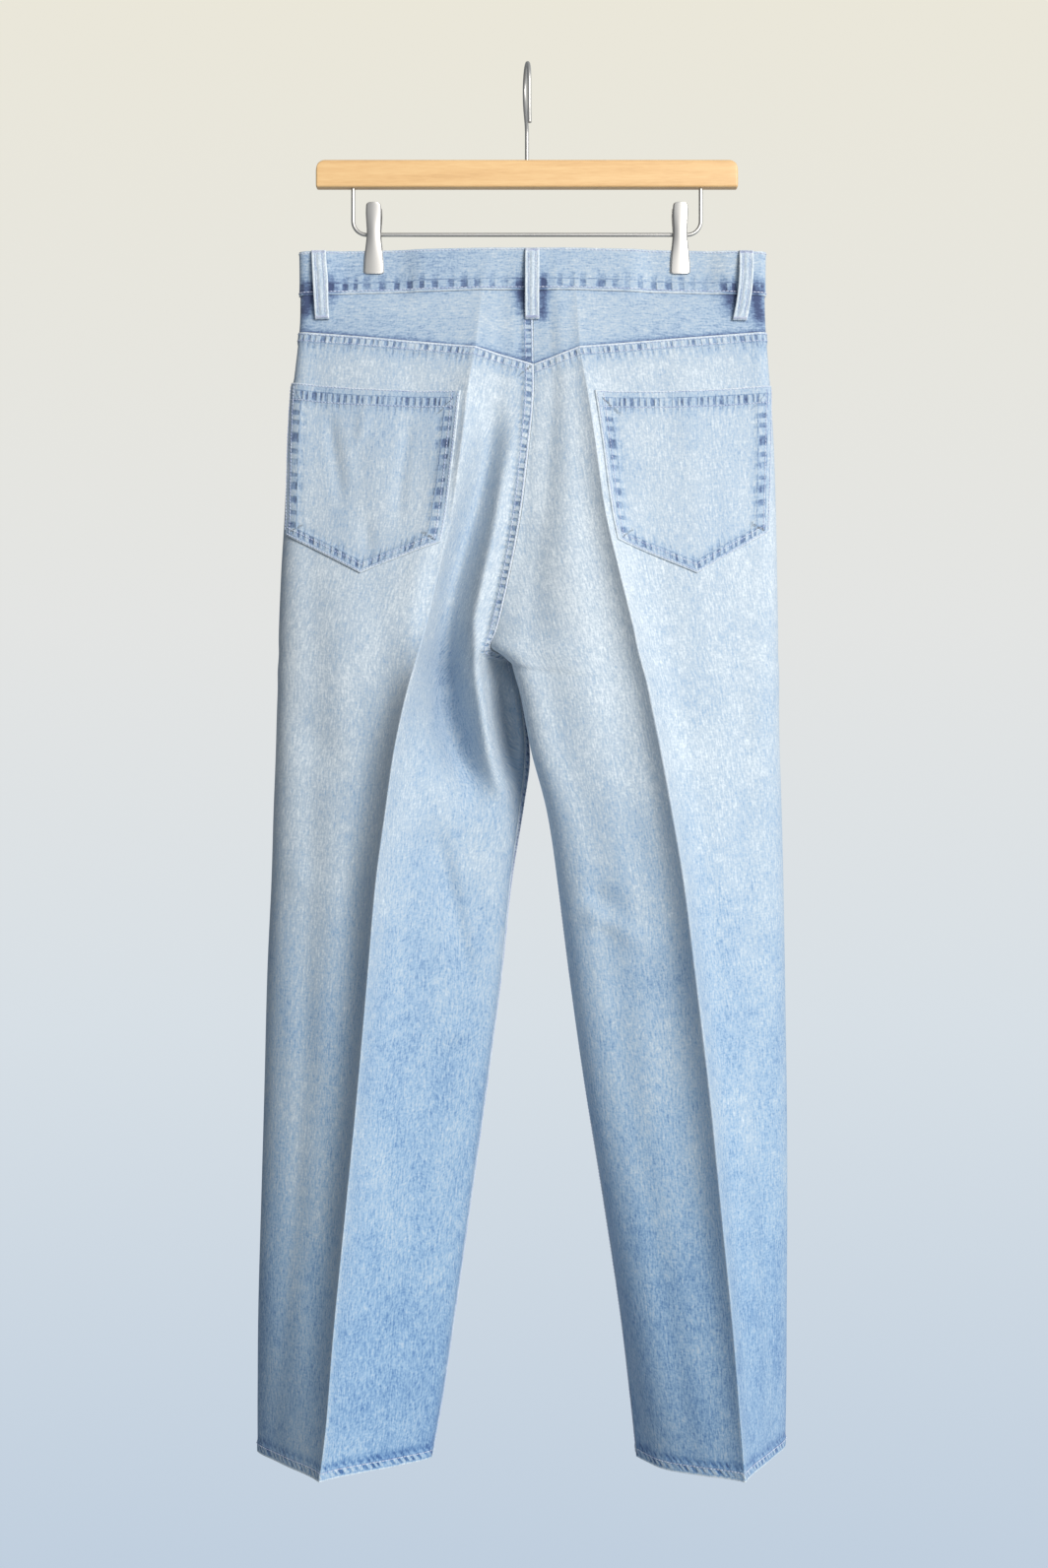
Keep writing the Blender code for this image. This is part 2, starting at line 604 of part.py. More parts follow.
def front_panel(face, leg, finish):
    position = COLUMNS[None]
    top = np.maximum(scoop(face, position, 0.0), FRONT_ROWS[0])
    rows = FRONT_ROWS[:, None]
    level = np.where(rows < 5.0, top + (5.0 - top) * (rows - FRONT_ROWS[0]) / (5.0 - FRONT_ROWS[0]), rows)
    patch(f"front_{leg}", face, level, position, finish, 0.0, hem_wall(level))


def front_pocket(face, leg, finish):
    """The facing that shows in the scooped pocket opening, sunk below the panel's edge."""
    position = np.array([*COLUMNS[:6], -0.36])[None]
    bottom = scoop(face, position, -1.3)
    top = face.level_at(-205.2)
    level = top + (bottom - top) * even_rows(0, 1, 6)
    patch(f"front_pocket_{leg}", face, level, position, finish, -0.6, 1.2)


def coin_pocket(face, finish):
    """A small pocket on the right-hand facing, inside the opening."""
    position = np.linspace(-0.86, -0.60, 5)[None]
    bottom = scoop(face, position, -5.0)
    top = face.level_at(-216.0)
    level = top + (bottom - top) * even_rows(0, 1, 5)
    patch("coin_pocket", face, level, position, finish, LAY_GAP + 0.9, 1.1)


def yoke(face, leg, finish):
    level = YOKE_ROWS[:, None]
    lift = 0.5 * (level > 1.7)
    patch(f"yoke_{leg}", face, level, face.columns[None], finish, lift, CLOTH + lift)


def waistband(faces, finish):
    """One strip round the waist. Its left end passes over the right end at the centre front."""
    rows = BAND_ROWS[:, None]
    half = COLUMNS[:-1]
    lap = faces["front_right"].from_inner(0.5, BAND_LAP)
    runs = [
        ("front_right", np.linspace(lap, 0.97, 4), 3.4),
        ("front_left", np.array([.98, .95]), 3.4),
        ("front_left", half[-3:0:-1], 0.0),
        ("back_left", half, 0.0),
        ("back_right", half[::-1], 0.0),
        ("front_right", half[1:], 0.0),
    ]
    outer, inner = [], []
    for name, positions, extra in runs:
        lift = BAND_LIFT + extra
        outer.append(faces[name].points(rows, positions[None], lift + rows * positions[None] * 0))
        inner.append(faces[name].points(rows, positions[None],
                                        lift - BAND_WALL + rows * positions[None] * 0))
    shell("waistband", np.concatenate(outer, axis=1), np.concatenate(inner, axis=1), finish)


def back_pocket(face, leg, finish):
    outer_top, inner_top, inner_bottom, tip, outer_bottom = np.array(POCKETS[leg])
    u = np.array([0, .03, .055, .09, .125, .16, .20, .25, .31, .40, .50, .61, .72, .82, .89, .945, 1])
    split = (tip[0] - outer_bottom[0]) / (inner_bottom[0] - outer_bottom[0])
    u = np.sort(np.append(u, split))
    top = outer_top + (inner_top - outer_top) * u[:, None]
    top[:, 1] -= 2.5 * np.sin(math.pi * u)
    low = outer_bottom + (tip - outer_bottom) * (u / split)[:, None]
    rest = tip + (inner_bottom - tip) * ((u - split) / (1 - split))[:, None]
    bottom = np.where(u[:, None] < split, low, rest)
    v = np.array([0, 0.05, 0.1, 0.22, 0.35, 0.48, 0.61, 0.74, 0.87, 0.95, 1])[:, None]
    position = top[:, 0] + (bottom[:, 0] - top[:, 0]) * v
    level = face.level_at(top[:, 1] + (bottom[:, 1] - top[:, 1]) * v)
    border = (u < 0.06) | (u > 0.94) | (v < 0.12) | (v > 0.93)
    lift = POCKET_LIFT + CLOTH + 0.6 * border
    patch(f"back_pocket_{leg}", face, level, position, finish, lift, lift - POCKET_LIFT)


def belt_loop(name, faces, finish):
    """A strip sewn down at the top and the bottom, with room for a belt behind it."""
    face_name, x_top, x_bottom, z_top, z_bottom = LOOPS[name]
    t = np.array([0, 0.1, 0.3, 0.55, 0.78, 0.92, 1])[:, None]
    across = np.array([-0.5, 0, 0.5])[None]
    x = x_top + (x_bottom - x_top) * t + LOOP_WIDTH * across
    z = z_top + (z_bottom - z_top) * t + across * 0
    face = faces[face_name]
    level, position = face.locate(x, z, -0.8 if "back" in name else 0.0)
    bow = LOOP_BOW * np.sin(math.pi * t) ** 0.8
    lift = BAND_LIFT + LAY_GAP / 2 + bow + LOOP_WALL + across * 0
    patch(name, face, level, position, finish, lift, LOOP_WALL)


def centre_loop(faces, finish):
    """The loop over the centre back seam, made across both back faces."""
    t = np.array([0, 0.1, 0.3, 0.55, 0.78, 0.92, 1])[:, None]
    z = -163.0 + (-227.0 + 163.0) * t
    bow = LOOP_BOW * np.sin(math.pi * t) ** 0.8
    outer, inner = [], []
    for leg, offsets in (("left", (-LOOP_WIDTH / 2, -3.0)), ("right", (3.0, LOOP_WIDTH / 2))):
        face = faces[f"back_{leg}"]
        x = 4.6 + np.array(offsets)[None] + t * 0
        level, position = face.locate(x, z + x * 0, 0.95)
        lift = BAND_LIFT + LAY_GAP / 2 + bow + LOOP_WALL + x * 0
        outer.append(face.points(level, position, lift))
        inner.append(face.points(level, position, lift - LOOP_WALL))
    shell("belt_loop_back_centre", np.concatenate(outer, axis=1), np.concatenate(inner, axis=1), finish)


def fly(faces, finish):
    """The lapped fly: it lies on the left front and passes the centre line."""
    t = np.linspace(0, 1, 12)[:, None]
    left, right = faces["front_left"], faces["front_right"]
    level = left.level_at(-205.0 - FLY_LENGTH * t)
    narrow = np.sqrt(np.clip(1 - np.clip((t - 0.72) / 0.28, 0, 1) ** 2, 0.012, 1))
    outer, inner = [], []
    lift = LAY_GAP + 1.0
    for face, distances in ((left, np.array([FLY_WIDTH, 24, 12, 2.0])), (right, np.array([1.0, FLY_LAP]))):
        reach = distances[None] * narrow
        position = face.from_inner(level, 1.0)
        position = 1 - (1 - position) * reach
        outer.append(face.points(level, position, lift + position * 0))
        inner.append(face.points(level, position, lift - 1.1 + position * 0))
    shell("fly", np.concatenate(outer, axis=1), np.concatenate(inner, axis=1), finish)


def lathe(name, profile, segments, finish):
    """A solid of revolution about +Y from radius and height pairs, closed on the axis at both ends."""
    turn = np.arange(segments) * 2 * math.pi / segments
    points = [(0.0, profile[0][1], 0.0)]
    for radius, height in profile[1:-1]:
        points += [(radius * math.cos(a), height, radius * math.sin(a)) for a in turn]
    points.append((0.0, profile[-1][1], 0.0))
    rings = len(profile) - 2
    faces = []
    for k in range(segments):
        n = (k + 1) % segments
        faces.append((0, 1 + k, 1 + n))
        for r in range(rings - 1):
            a, b = 1 + r * segments, 1 + (r + 1) * segments
            faces.append((a + k, b + k, b + n, a + n))
        last = 1 + (rings - 1) * segments
        faces.append((last + n, last + k, len(points) - 1))
    return add_mesh(name, np.array(points), faces, finish)


def sweep(name, path, radius, segments, finish):
    """A round wire along a path, with flat ends."""
    path = np.asarray(path, float)
    ahead = unit(np.gradient(path, axis=0))
    side = np.cross(ahead[0], (0.0, 1.0, 0.0) if abs(ahead[0][1]) < 0.9 else (1.0, 0.0, 0.0))
    rings = []
    for point, way in zip(path, ahead):
        side = side - way * side.dot(way)
        side = side / np.linalg.norm(side)
        other = np.cross(way, side)
        turn = np.arange(segments) * 2 * math.pi / segments
        rings.append(point + radius * (np.cos(turn)[:, None] * side + np.sin(turn)[:, None] * other))
    points = np.concatenate(rings)
    count = len(path)
    faces = [tuple(range(segments)), tuple(range((count - 1) * segments, count * segments))]
    for r in range(count - 1):
        for k in range(segments):
            n = (k + 1) % segments
            faces.append((r * segments + k, r * segments + n,
                          (r + 1) * segments + n, (r + 1) * segments + k))
    return add_mesh(name, points, faces, finish)


def prism(name, outline, y_low, y_high, finish, bevel=0.0):
    """An outline in x and z, extruded along y. The bevel rounds its edges."""
    outline = np.asarray(outline, float)
    count = len(outline)
    points = np.concatenate([np.insert(outline, 1, y, axis=1) for y in (y_low, y_high)])
    faces = [tuple(range(count)), tuple(range(count, 2 * count))]
    faces += [(k, (k + 1) % count, (k + 1) % count + count, k + count) for k in range(count)]
    if not bevel:
        return add_mesh(name, points, faces, finish)
    mesh = bpy.data.meshes.new(name)
    mesh.from_pydata([tuple(p) for p in points * MM], [], faces)
    work = bmesh.new()
    work.from_mesh(mesh)
    bmesh.ops.recalc_face_normals(work, faces=work.faces)
    rim = [e for e in work.edges if abs(e.verts[0].co.y - e.verts[1].co.y) < 1e-6]
    bmesh.ops.bevel(work, geom=rim, offset=bevel * MM, segments=2, affect="EDGES", profile=0.5)
    bmesh.ops.triangulate(work, faces=work.faces)
    work.to_mesh(mesh)
    work.free()
    mesh.materials.append(finish)
    made = bpy.data.objects.new(name, mesh)
    bpy.context.scene.collection.objects.link(made)
    return made


def cylinder_cutter(name, x, z_low, z_high):
    """A hidden upright cylinder that bores a socket."""
    turn = np.arange(24) * 2 * math.pi / 24
    ring = np.stack([x + SOCKET * np.cos(turn), SOCKET * np.sin(turn)], axis=1)
    points = np.concatenate([np.insert(ring, 2, z, axis=1) for z in (z_low, z_high)])
    faces = [tuple(range(24)), tuple(range(24, 48))]
    faces += [(k, (k + 1) % 24, (k + 1) % 24 + 24, k + 24) for k in range(24)]
    cutter = add_mesh(name, points, faces, bpy.data.materials[0])
    cutter.hide_render = True
    cutter.display_type = "WIRE"
    return cutter


def hanger_bar(finish):
    half, bottom = BAR_LENGTH / 2, BAR_TOP - BAR_HEIGHT
    bow = np.radians(np.arange(0, 91, 15))
    arc = np.stack([half - BAR_CORNER + BAR_CORNER * np.sin(bow),
                    BAR_TOP - BAR_CORNER + BAR_CORNER * np.cos(bow)], axis=1)
    right = np.vstack([arc, [(half - 1.0, bottom)]])
    outline = np.vstack([right, (right * (-1, 1))[::-1]])
    bar = prism("hanger_bar", outline, -BAR_DEPTH / 2, BAR_DEPTH / 2, finish, 1.4)
    holes = ((0.0, BAR_TOP - 14, BAR_TOP + 5), (-WIRE_REACH, bottom - 5, bottom + 10),
             (WIRE_REACH, bottom - 5, bottom + 10))
    for index, (x, low, high) in enumerate(holes):
        cut = bar.modifiers.new(f"Socket{index}", "BOOLEAN")
        cut.operation = "DIFFERENCE"
        cut.solver = "EXACT"
        cut.object = cylinder_cutter(f"socket_cutter_{index}", x, low, high)


def hanger_hook(finish):
    """A wire hook whose plane stands across the bar, with its shank in the bar's socket."""
    centre = WIRE / 2 - HOOK_RADIUS
    over = np.radians(np.arange(0, 181, 12))
    arc = np.stack([HOOK_RADIUS * np.cos(over), centre + HOOK_RADIUS * np.sin(over)], axis=1)
    t = np.linspace(0, 1, 9)[1:-1, None]
    low, high = np.array((0.0, -62.0)), arc[0]
    neck = ((1 - t) ** 3 * low + 3 * t * (1 - t) ** 2 * (low + (0, 16))
            + 3 * t * t * (1 - t) * (high - (0, 20)) + t ** 3 * high)
    tip = np.array([(-HOOK_RADIUS - 0.1, centre - 12), (-HOOK_RADIUS - 0.8, centre - 26),
                    (-HOOK_RADIUS - 2.4, TIP_Z)])
    line = np.vstack([[(0, BAR_TOP - 13.5), (0, BAR_TOP), (0, -70.0), low], neck, arc, tip])
    path = np.stack([line[:, 0] * math.sin(HOOK_TURN), line[:, 0] * math.cos(HOOK_TURN), line[:, 1]],
                    axis=1)
    sweep("hanger_hook", path, WIRE / 2, 14, finish)


def clip_wire(finish):
    """The wire under the bar: two upright ends in the bar's sockets and a level run between them."""
    top = BAR_TOP - BAR_HEIGHT + 9.0
    over = np.radians(np.arange(0, 91, 18))
    corner = np.stack([WIRE_REACH - WIRE_CORNER + WIRE_CORNER * np.cos(over),
                       WIRE_Z + WIRE_CORNER - WIRE_CORNER * np.sin(over)], axis=1)
    right = np.vstack([[(WIRE_REACH, top)], corner])
    line = np.vstack([right, (right * (-1, 1))[::-1]])
    path = np.insert(line, 1, 0.0, axis=1)
    sweep("clip_wire", path, WIRE / 2, 12, finish)


def clip(side, x, finish):
    """A spring clip: two spade-shaped plates on a sleeve that rides on the wire."""
    heights = np.array([CLIP_TOP, -131, -139, -146, -152, -160, -172, CLIP_BOTTOM])
    widths = np.array([12.6, 13.6, 13.0, 12.2, 12.6, 14.4, 17.0, 18.2]) / 2
    depths = np.array([8.6, 7.2, 6.0, 5.3, 4.9, 4.4, 3.9, 3.6])
    across = np.array([-1.0, -0.6, 0.0, 0.6, 1.0])
    for face, sign in (("front", -1), ("rear", 1)):
        px = x + widths[:, None] * across
        curl = 0.5 * (1 - across ** 2)
        py = sign * (depths[:, None] + curl)
        pz = heights[:, None] + across * 0
        inner = np.stack([px, py, pz], axis=-1)
        outer = inner + np.array((0.0, sign * CLIP_PLATE, 0.0))
        shell(f"clip_{face}_{side}", outer, inner, finish)
    turn = np.arange(16) * 2 * math.pi / 16
    rings = []
    for radius, offset in ((4.7, -5.5), (4.7, 5.5), (WIRE / 2 + 0.15, 5.5), (WIRE / 2 + 0.15, -5.5)):
        rings.append(np.stack([np.full(16, x + offset), radius * np.cos(turn),
                               WIRE_Z + radius * np.sin(turn)], axis=1))
    faces = []
    for r in range(4):
        for k in range(16):
            n = (k + 1) % 16
            s = (r + 1) % 4
            faces.append((r * 16 + k, r * 16 + n, s * 16 + n, s * 16 + k))
    add_mesh(f"clip_sleeve_{side}", np.concatenate(rings), faces, finish)


def main():
    for old in list(bpy.data.objects):
        bpy.data.objects.remove(old)
    denim = material("denim", (0.44, 0.57, 0.72), 0.9)
    dark_denim = material("denim_unfaded", (0.20, 0.30, 0.52), 0.9)
    beech = material("beech", (0.78, 0.60, 0.40), 0.45)
    nickel = material("nickel", (0.62, 0.61, 0.58), 0.35, 1.0)
    brass = material("button_metal", (0.60, 0.56, 0.50), 0.35, 1.0)
    faces = make_faces()
    for leg in ("left", "right"):
        back_panel(faces[f"back_{leg}"], leg, denim)
        front_panel(faces[f"front_{leg}"], leg, denim)
        front_pocket(faces[f"front_{leg}"], leg, dark_denim)
        yoke(faces[f"back_{leg}"], leg, denim)
        back_pocket(faces[f"back_{leg}"], leg, denim)
    coin_pocket(faces["front_right"], denim)
    waistband(faces, denim)
    for name in LOOPS:
        belt_loop(name, faces, denim)
    centre_loop(faces, denim)
    fly(faces, denim)
    front = faces["front_right"].points(np.array([0.5]), np.array([0.985]), np.array([BAND_LIFT + 3.4]))[0]
    button = lathe("waist_button", [(0, 0.3), (5.0, 0.3), (5.0, 1.2),
                                    (BUTTON_RADIUS, 1.4), (BUTTON_RADIUS, 2.4),
                                    (7.4, 3.3), (5.6, 3.4), (4.6, 2.9), (0, 2.9)], 24, brass)
    button.location = (front[0] * MM, (front[1] + 0.9) * MM, front[2] * MM)
    hanger_bar(beech)
    hanger_hook(nickel)
    clip_wire(nickel)
    clip("left", -CLIP_X, nickel)
    clip("right", CLIP_X, nickel)


main()
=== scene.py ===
# %% [markdown]
# # Pressed jeans on a clip hanger
#
# This lesson dresses a CAD model of light-washed jeans that hang by the waistband from a
# wooden clip hanger. Real jeans are flat cloth pieces sewn together, so each piece here is
# one surface with two parameters, a level down the leg and a position across the panel.
# Everything is worked out with numpy arrays, and Blender receives the finished grids.

# %% Load the measured frame
import math

import bpy
import numpy as np
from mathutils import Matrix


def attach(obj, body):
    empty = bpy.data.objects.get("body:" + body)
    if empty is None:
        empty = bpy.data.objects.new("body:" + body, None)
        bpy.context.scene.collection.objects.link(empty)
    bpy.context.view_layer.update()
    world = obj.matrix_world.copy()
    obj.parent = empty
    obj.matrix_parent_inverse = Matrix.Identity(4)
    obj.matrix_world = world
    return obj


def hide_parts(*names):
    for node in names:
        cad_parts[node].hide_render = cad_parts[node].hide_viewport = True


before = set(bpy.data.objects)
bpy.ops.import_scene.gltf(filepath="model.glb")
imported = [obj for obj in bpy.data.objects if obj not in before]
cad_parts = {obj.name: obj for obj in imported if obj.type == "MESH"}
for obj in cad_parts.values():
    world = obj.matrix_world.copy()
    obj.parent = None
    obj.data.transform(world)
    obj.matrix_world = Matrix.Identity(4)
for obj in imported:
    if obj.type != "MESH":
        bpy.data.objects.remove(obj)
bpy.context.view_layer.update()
MM = 0.001
print("nodes:", len(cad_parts))

# %% [markdown]
# ## Camera, light and background
#
# The jeans are seen square on from the back. One pixel of the 1064 by 1592 picture is
# 0.87 mm at the cloth, which fixes the distance of a 50 mm lens. One large soft light to the
# right and above stands in for a window. The light of the room grows from left to right as
# well, so each pressed facet that faces right is brighter than its neighbour, and the other
# facets still get enough. Several small lamps could do the same, but one gradient round the
# whole scene leaves no hard edges on cloth. The background is a second gradient, from warm
# white at the top to a cool blue below, and only the camera sees it.

# %% Camera
PIXEL = 0.87                          # millimetres of cloth in one pixel
PICTURE_HEIGHT = 1592                 # pixels
VIEW_CENTRE = (-2.6, -634.0)          # x and z in millimetres
LENS, SENSOR = 50.0, 36.0
DISTANCE = PICTURE_HEIGHT * PIXEL * LENS / SENSOR
camera_data = bpy.data.cameras.new("camera")
camera_data.lens = LENS
camera_data.sensor_fit = "VERTICAL"
camera_data.sensor_height = SENSOR
camera = bpy.data.objects.new("camera", camera_data)
camera.location = (VIEW_CENTRE[0] * MM, -DISTANCE * MM, VIEW_CENTRE[1] * MM)
camera.rotation_euler = (math.pi / 2, 0, 0)
bpy.context.scene.collection.objects.link(camera)
bpy.context.scene.camera = camera
print("camera distance in mm:", round(DISTANCE))


# %% Window light
def area_light(name, place, aim, size, power, colour):
    """A square soft light at place that faces aim. Places are in metres."""
    data = bpy.data.lights.new(name, "AREA")
    data.shape = "SQUARE"
    data.size = size
    data.energy = power
    data.color = colour
    light = bpy.data.objects.new(name, data)
    light.location = place
    direction = np.array(aim) - np.array(place)
    yaw = math.atan2(direction[1], direction[0])
    tilt = math.acos(direction[2] / np.linalg.norm(direction))
    light.rotation_euler = (math.pi - tilt, 0.0, yaw - math.pi / 2)
    bpy.context.scene.collection.objects.link(light)
    print(name, "watts:", power, "width in metres:", size)


area_light("window_light", (2.6, -4.4, 0.7), (0, 0, -0.6), 2.2, 300, (1.0, 0.985, 0.96))


# %% Node helpers
def node(tree, kind, **inputs):
    """Adds a node and sets its inputs: a value, or another node's output socket."""
    made = tree.nodes.new(kind)
    for key, value in inputs.items():
        socket = made.inputs[int(key[1:])] if key[0] == "i" and key[1:].isdigit() else made.inputs[key]
        if isinstance(value, bpy.types.NodeSocket):
            tree.links.new(value, socket)
        else:
            socket.default_value = value
    return made


def maths(tree, operation, a, b=0.5, c=0.0):
    """A Math node: a and b may be numbers or sockets."""
    made = node(tree, "ShaderNodeMath", i0=a, i1=b, i2=c)
    made.operation = operation
    return made.outputs[0]


def ramp(tree, factor, stops):
    """A colour ramp through (place, colour) stops."""
    made = node(tree, "ShaderNodeValToRGB", i0=factor)
    cells = made.color_ramp.elements
    while len(cells) > 1:
        cells.remove(cells[-1])
    cells[0].position, cells[0].color = stops[0][0], (*stops[0][1], 1)
    for place, colour in stops[1:]:
        cells.new(place).color = (*colour, 1)
    return made.outputs[0]


def step(tree, value, low, high, to_low=0.0, to_high=1.0):
    """A smooth step of value from low to high."""
    made = node(tree, "ShaderNodeMapRange", i0=value, i1=low, i2=high, i3=to_low, i4=to_high)
    made.interpolation_type = "SMOOTHSTEP"
    return made.outputs[0]


# %% The room: its light from left to right, and its background from the floor up
ROOM_LEFT, ROOM_RIGHT = 0.20, 0.76      # strength of the light
ROOM_TINT = (0.86, 0.93, 1.0, 1)
PAPER_REACH = 0.36                      # height of the view direction at the top of the gradient
PAPER = ((0.0, (0.51, 0.61, 0.73)), (0.35, (0.68, 0.74, 0.79)), (0.6, (0.77, 0.78, 0.77)),
         (1.0, (0.83, 0.80, 0.69)))
world = bpy.data.worlds.new("soft_room")
bpy.context.scene.world = world
world.use_nodes = True
room = world.node_tree
lit = room.nodes["Background"]
towards = node(room, "ShaderNodeSeparateXYZ", i0=node(room, "ShaderNodeTexCoord").outputs["Generated"])
window_side = node(room, "ShaderNodeMapRange", i0=towards.outputs[0], i1=-1.0, i2=1.0,
                   i3=ROOM_LEFT, i4=ROOM_RIGHT)
room.links.new(window_side.outputs[0], lit.inputs["Strength"])
lit.inputs["Color"].default_value = ROOM_TINT
spread = node(room, "ShaderNodeMapRange", i0=towards.outputs[2], i1=-PAPER_REACH, i2=PAPER_REACH)
paper = node(room, "ShaderNodeBackground", Color=ramp(room, spread.outputs[0], PAPER))
seen = node(room, "ShaderNodeMixShader", i0=node(room, "ShaderNodeLightPath").outputs["Is Camera Ray"],
            i1=lit.outputs[0], i2=paper.outputs[0])
room.links.new(seen.outputs[0], room.nodes["World Output"].inputs[0])
bpy.context.scene.view_settings.view_transform = "Standard"
print("lights: one window and the room")

# %% [markdown]
# ## Small tools for arrays
#
# A maker's pattern gives sizes at a few levels only. A cubic curve through those rows gives
# every level between them, and a smooth step blends one form into the next. Blender's own
# curves could do this too, but plain arrays let a whole leg be worked out in one line.


# %% Curves through tables
def along(rows, at):
    """Cubic Hermite curve through the rows: h(t) = a(1+2t)(1-t)^2 + b t^2(3-2t) + slopes."""
    slope = np.gradient(rows, axis=0)
    low = np.clip(np.floor(at).astype(int), 0, len(rows) - 2)
    t = (at - low)[..., None]
    a, b, ma, mb = rows[low], rows[low + 1], slope[low], slope[low + 1]
    return (a * (1 + 2 * t) * (1 - t) ** 2 + ma * t * (1 - t) ** 2
            + b * t * t * (3 - 2 * t) - mb * t * t * (1 - t))


def smooth(value, low, high):
    """Smooth step: 3s^2 - 2s^3, where s runs from 0 at low to 1 at high."""
    s = np.clip((value - low) / (high - low), 0, 1)
    return s * s * (3 - 2 * s)


def unit(vectors):
    """Each vector divided by its length."""
    return vectors / np.maximum(np.linalg.norm(vectors, axis=-1, keepdims=True), 1e-9)


def soften(rows, reach):
    """Running mean down the rows, with the ends held."""
    padded = np.vstack([rows[:1].repeat(reach, axis=0), rows, rows[-1:].repeat(reach, axis=0)])
    total = np.vstack([np.zeros((1, rows.shape[1])), np.cumsum(padded, axis=0)])
    return (total[2 * reach + 1:] - total[:-2 * reach - 1]) / (2 * reach + 1)


def bell(distance, width):
    """Bell curve: exp(-(distance / width)^2)."""
    return np.exp(-(distance / width) ** 2)


# %% [markdown]
# ## The lines of the jeans
#
# Three lines run down each leg: the outseam, the pressed crease, and an inner line. The
# inner line is the rise seam as far as the crotch point, and the inseam below it. These are
# the lines of the CAD model, in millimetres below the hook. The back is towards -Y. A loose
# mesh pushed about by hand could look the same from one side, but lines that two panels share
# keep them together all the way round.

# %% Seam and crease lines
SEAM_GAP = 0.3
CLIP_X, CLIP_GRIP = 135.0, 2.2      # where the clips hold, and half the thickness they leave
# Outseams: z, left x, left y, right x, right y
OUTSEAM = np.array([
    (-165, -200, 0, 210, 0), (-204, -200, 0, 210, 0), (-236, -201, 0, 211, 0),
    (-290, -207, 0, 215, 0), (-340, -211, 0, 218, 0), (-400, -214, 0, 220, 1),
    (-450, -217, 0, 221, 2), (-500, -219, 0, 222, 3), (-520, -219, 0, 222, 3),
    (-535, -220, 0, 223, 4), (-550, -220, 0, 223, 4), (-575, -221, 1, 223, 5),
    (-610, -222, 1, 224, 7), (-660, -224, 2, 226, 10), (-720, -226, 4, 228, 14),
    (-800, -230, 7, 230, 19), (-900, -233, 11, 232, 24), (-1000, -236, 14, 233, 28),
    (-1100, -239, 17, 233, 32), (-1175, -240, 19, 233, 35), (-1228, -240, 20, 232, 37),
], float)
# Back creases: z, left x, right x, depth towards the viewer
BACK_CREASE = np.array([
    (-162, -33, 38, 6), (-200, -39, 43, 11), (-252, -45, 46, 24), (-290, -51, 52, 36),
    (-340, -56, 59, 50), (-400, -64, 67, 62), (-450, -76, 78, 72), (-500, -87, 90, 79),
    (-520, -92, 94, 81), (-535, -96, 98, 82), (-550, -100, 102, 83), (-575, -106, 107, 84),
    (-610, -113, 114, 85), (-660, -120, 123, 86), (-720, -128, 133, 86), (-800, -135, 143, 85),
    (-900, -144, 155, 83), (-1000, -154, 165, 81), (-1100, -164, 175, 79),
    (-1175, -170, 181, 78), (-1226, -176, 185, 78),
], float)
# Front creases: z, left x, right x, depth away from the viewer
FRONT_CREASE = np.array([
    (-162, -95, 105, 6), (-202, -97, 107, 11), (-240, -99, 108, 18), (-290, -101, 110, 28),
    (-340, -103, 111, 38), (-400, -105, 112, 49), (-450, -107, 113, 57), (-500, -109, 114, 63),
    (-520, -110, 114, 65), (-535, -111, 115, 67), (-550, -112, 115, 68), (-575, -113, 116, 70),
    (-610, -115, 117, 73), (-660, -117, 118, 76), (-720, -120, 120, 79), (-800, -123, 122, 82),
    (-900, -128, 125, 85), (-1000, -132, 128, 87), (-1100, -137, 131, 89),
    (-1175, -140, 133, 90), (-1227, -142, 134, 91),
], float)
# Rise seams from waist to crotch point: z, x, y
BACK_RISE = np.array([
    (-162, 5, -6), (-200, 5, -10), (-267, 6, -20), (-296, 6, -26), (-340, 2, -33),
    (-400, -5, -40), (-450, -14, -44), (-498, -25, -44), (-514, -32, -38), (-519, -25, -20),
    (-521, -13, 0),
], float)
FRONT_RISE = np.array([
    (-162, 5, 6), (-201, 5, 10), (-240, 5, 14), (-290, 4, 19), (-340, 2, 23), (-400, -2, 26),
    (-450, -6, 27), (-492, -10, 25), (-509, -13, 19), (-517, -14, 10), (-521, -13, 0),
], float)
# Inseams: z, left x, left y, left turn, right x, right y, right turn (degrees)
INSEAM = np.array([
    (-552, -7, 3, 12, 0, 5, 24), (-605, -2, 4, 18, 9, 8, 26), (-658, -7, 4, 10, 20, 10, 26),
    (-720, -15, 4, 0, 28, 11, 25), (-800, -23, 5, 0, 38, 11, 25), (-900, -36, 6, 0, 52, 11, 25),
    (-1000, -50, 7, 0, 68, 11, 25), (-1100, -64, 8, 0, 83, 10, 25),
    (-1175, -75, 8, 0, 92, 10, 25), (-1231, -85, 8, 0, 98, 10, 25),
], float)
LEVELS, CROTCH = len(OUTSEAM), len(BACK_RISE) - 1
print("levels:", LEVELS, "crotch at level", CROTCH)

# %% [markdown]
# ## How the cloth bends between the lines
#
# Ironing leaves two nearly flat facets on each face of a leg. Each facet runs straight from
# the crease to a corner near the seam, and then rolls round into the seam. The tables give
# where that corner lies and how softly it turns. At the crotch the corner moves far from
# the seam, because the seat folds over the top of the thigh there. A cloth simulation would
# round off the pressed edge, so the section of the leg is drawn instead.

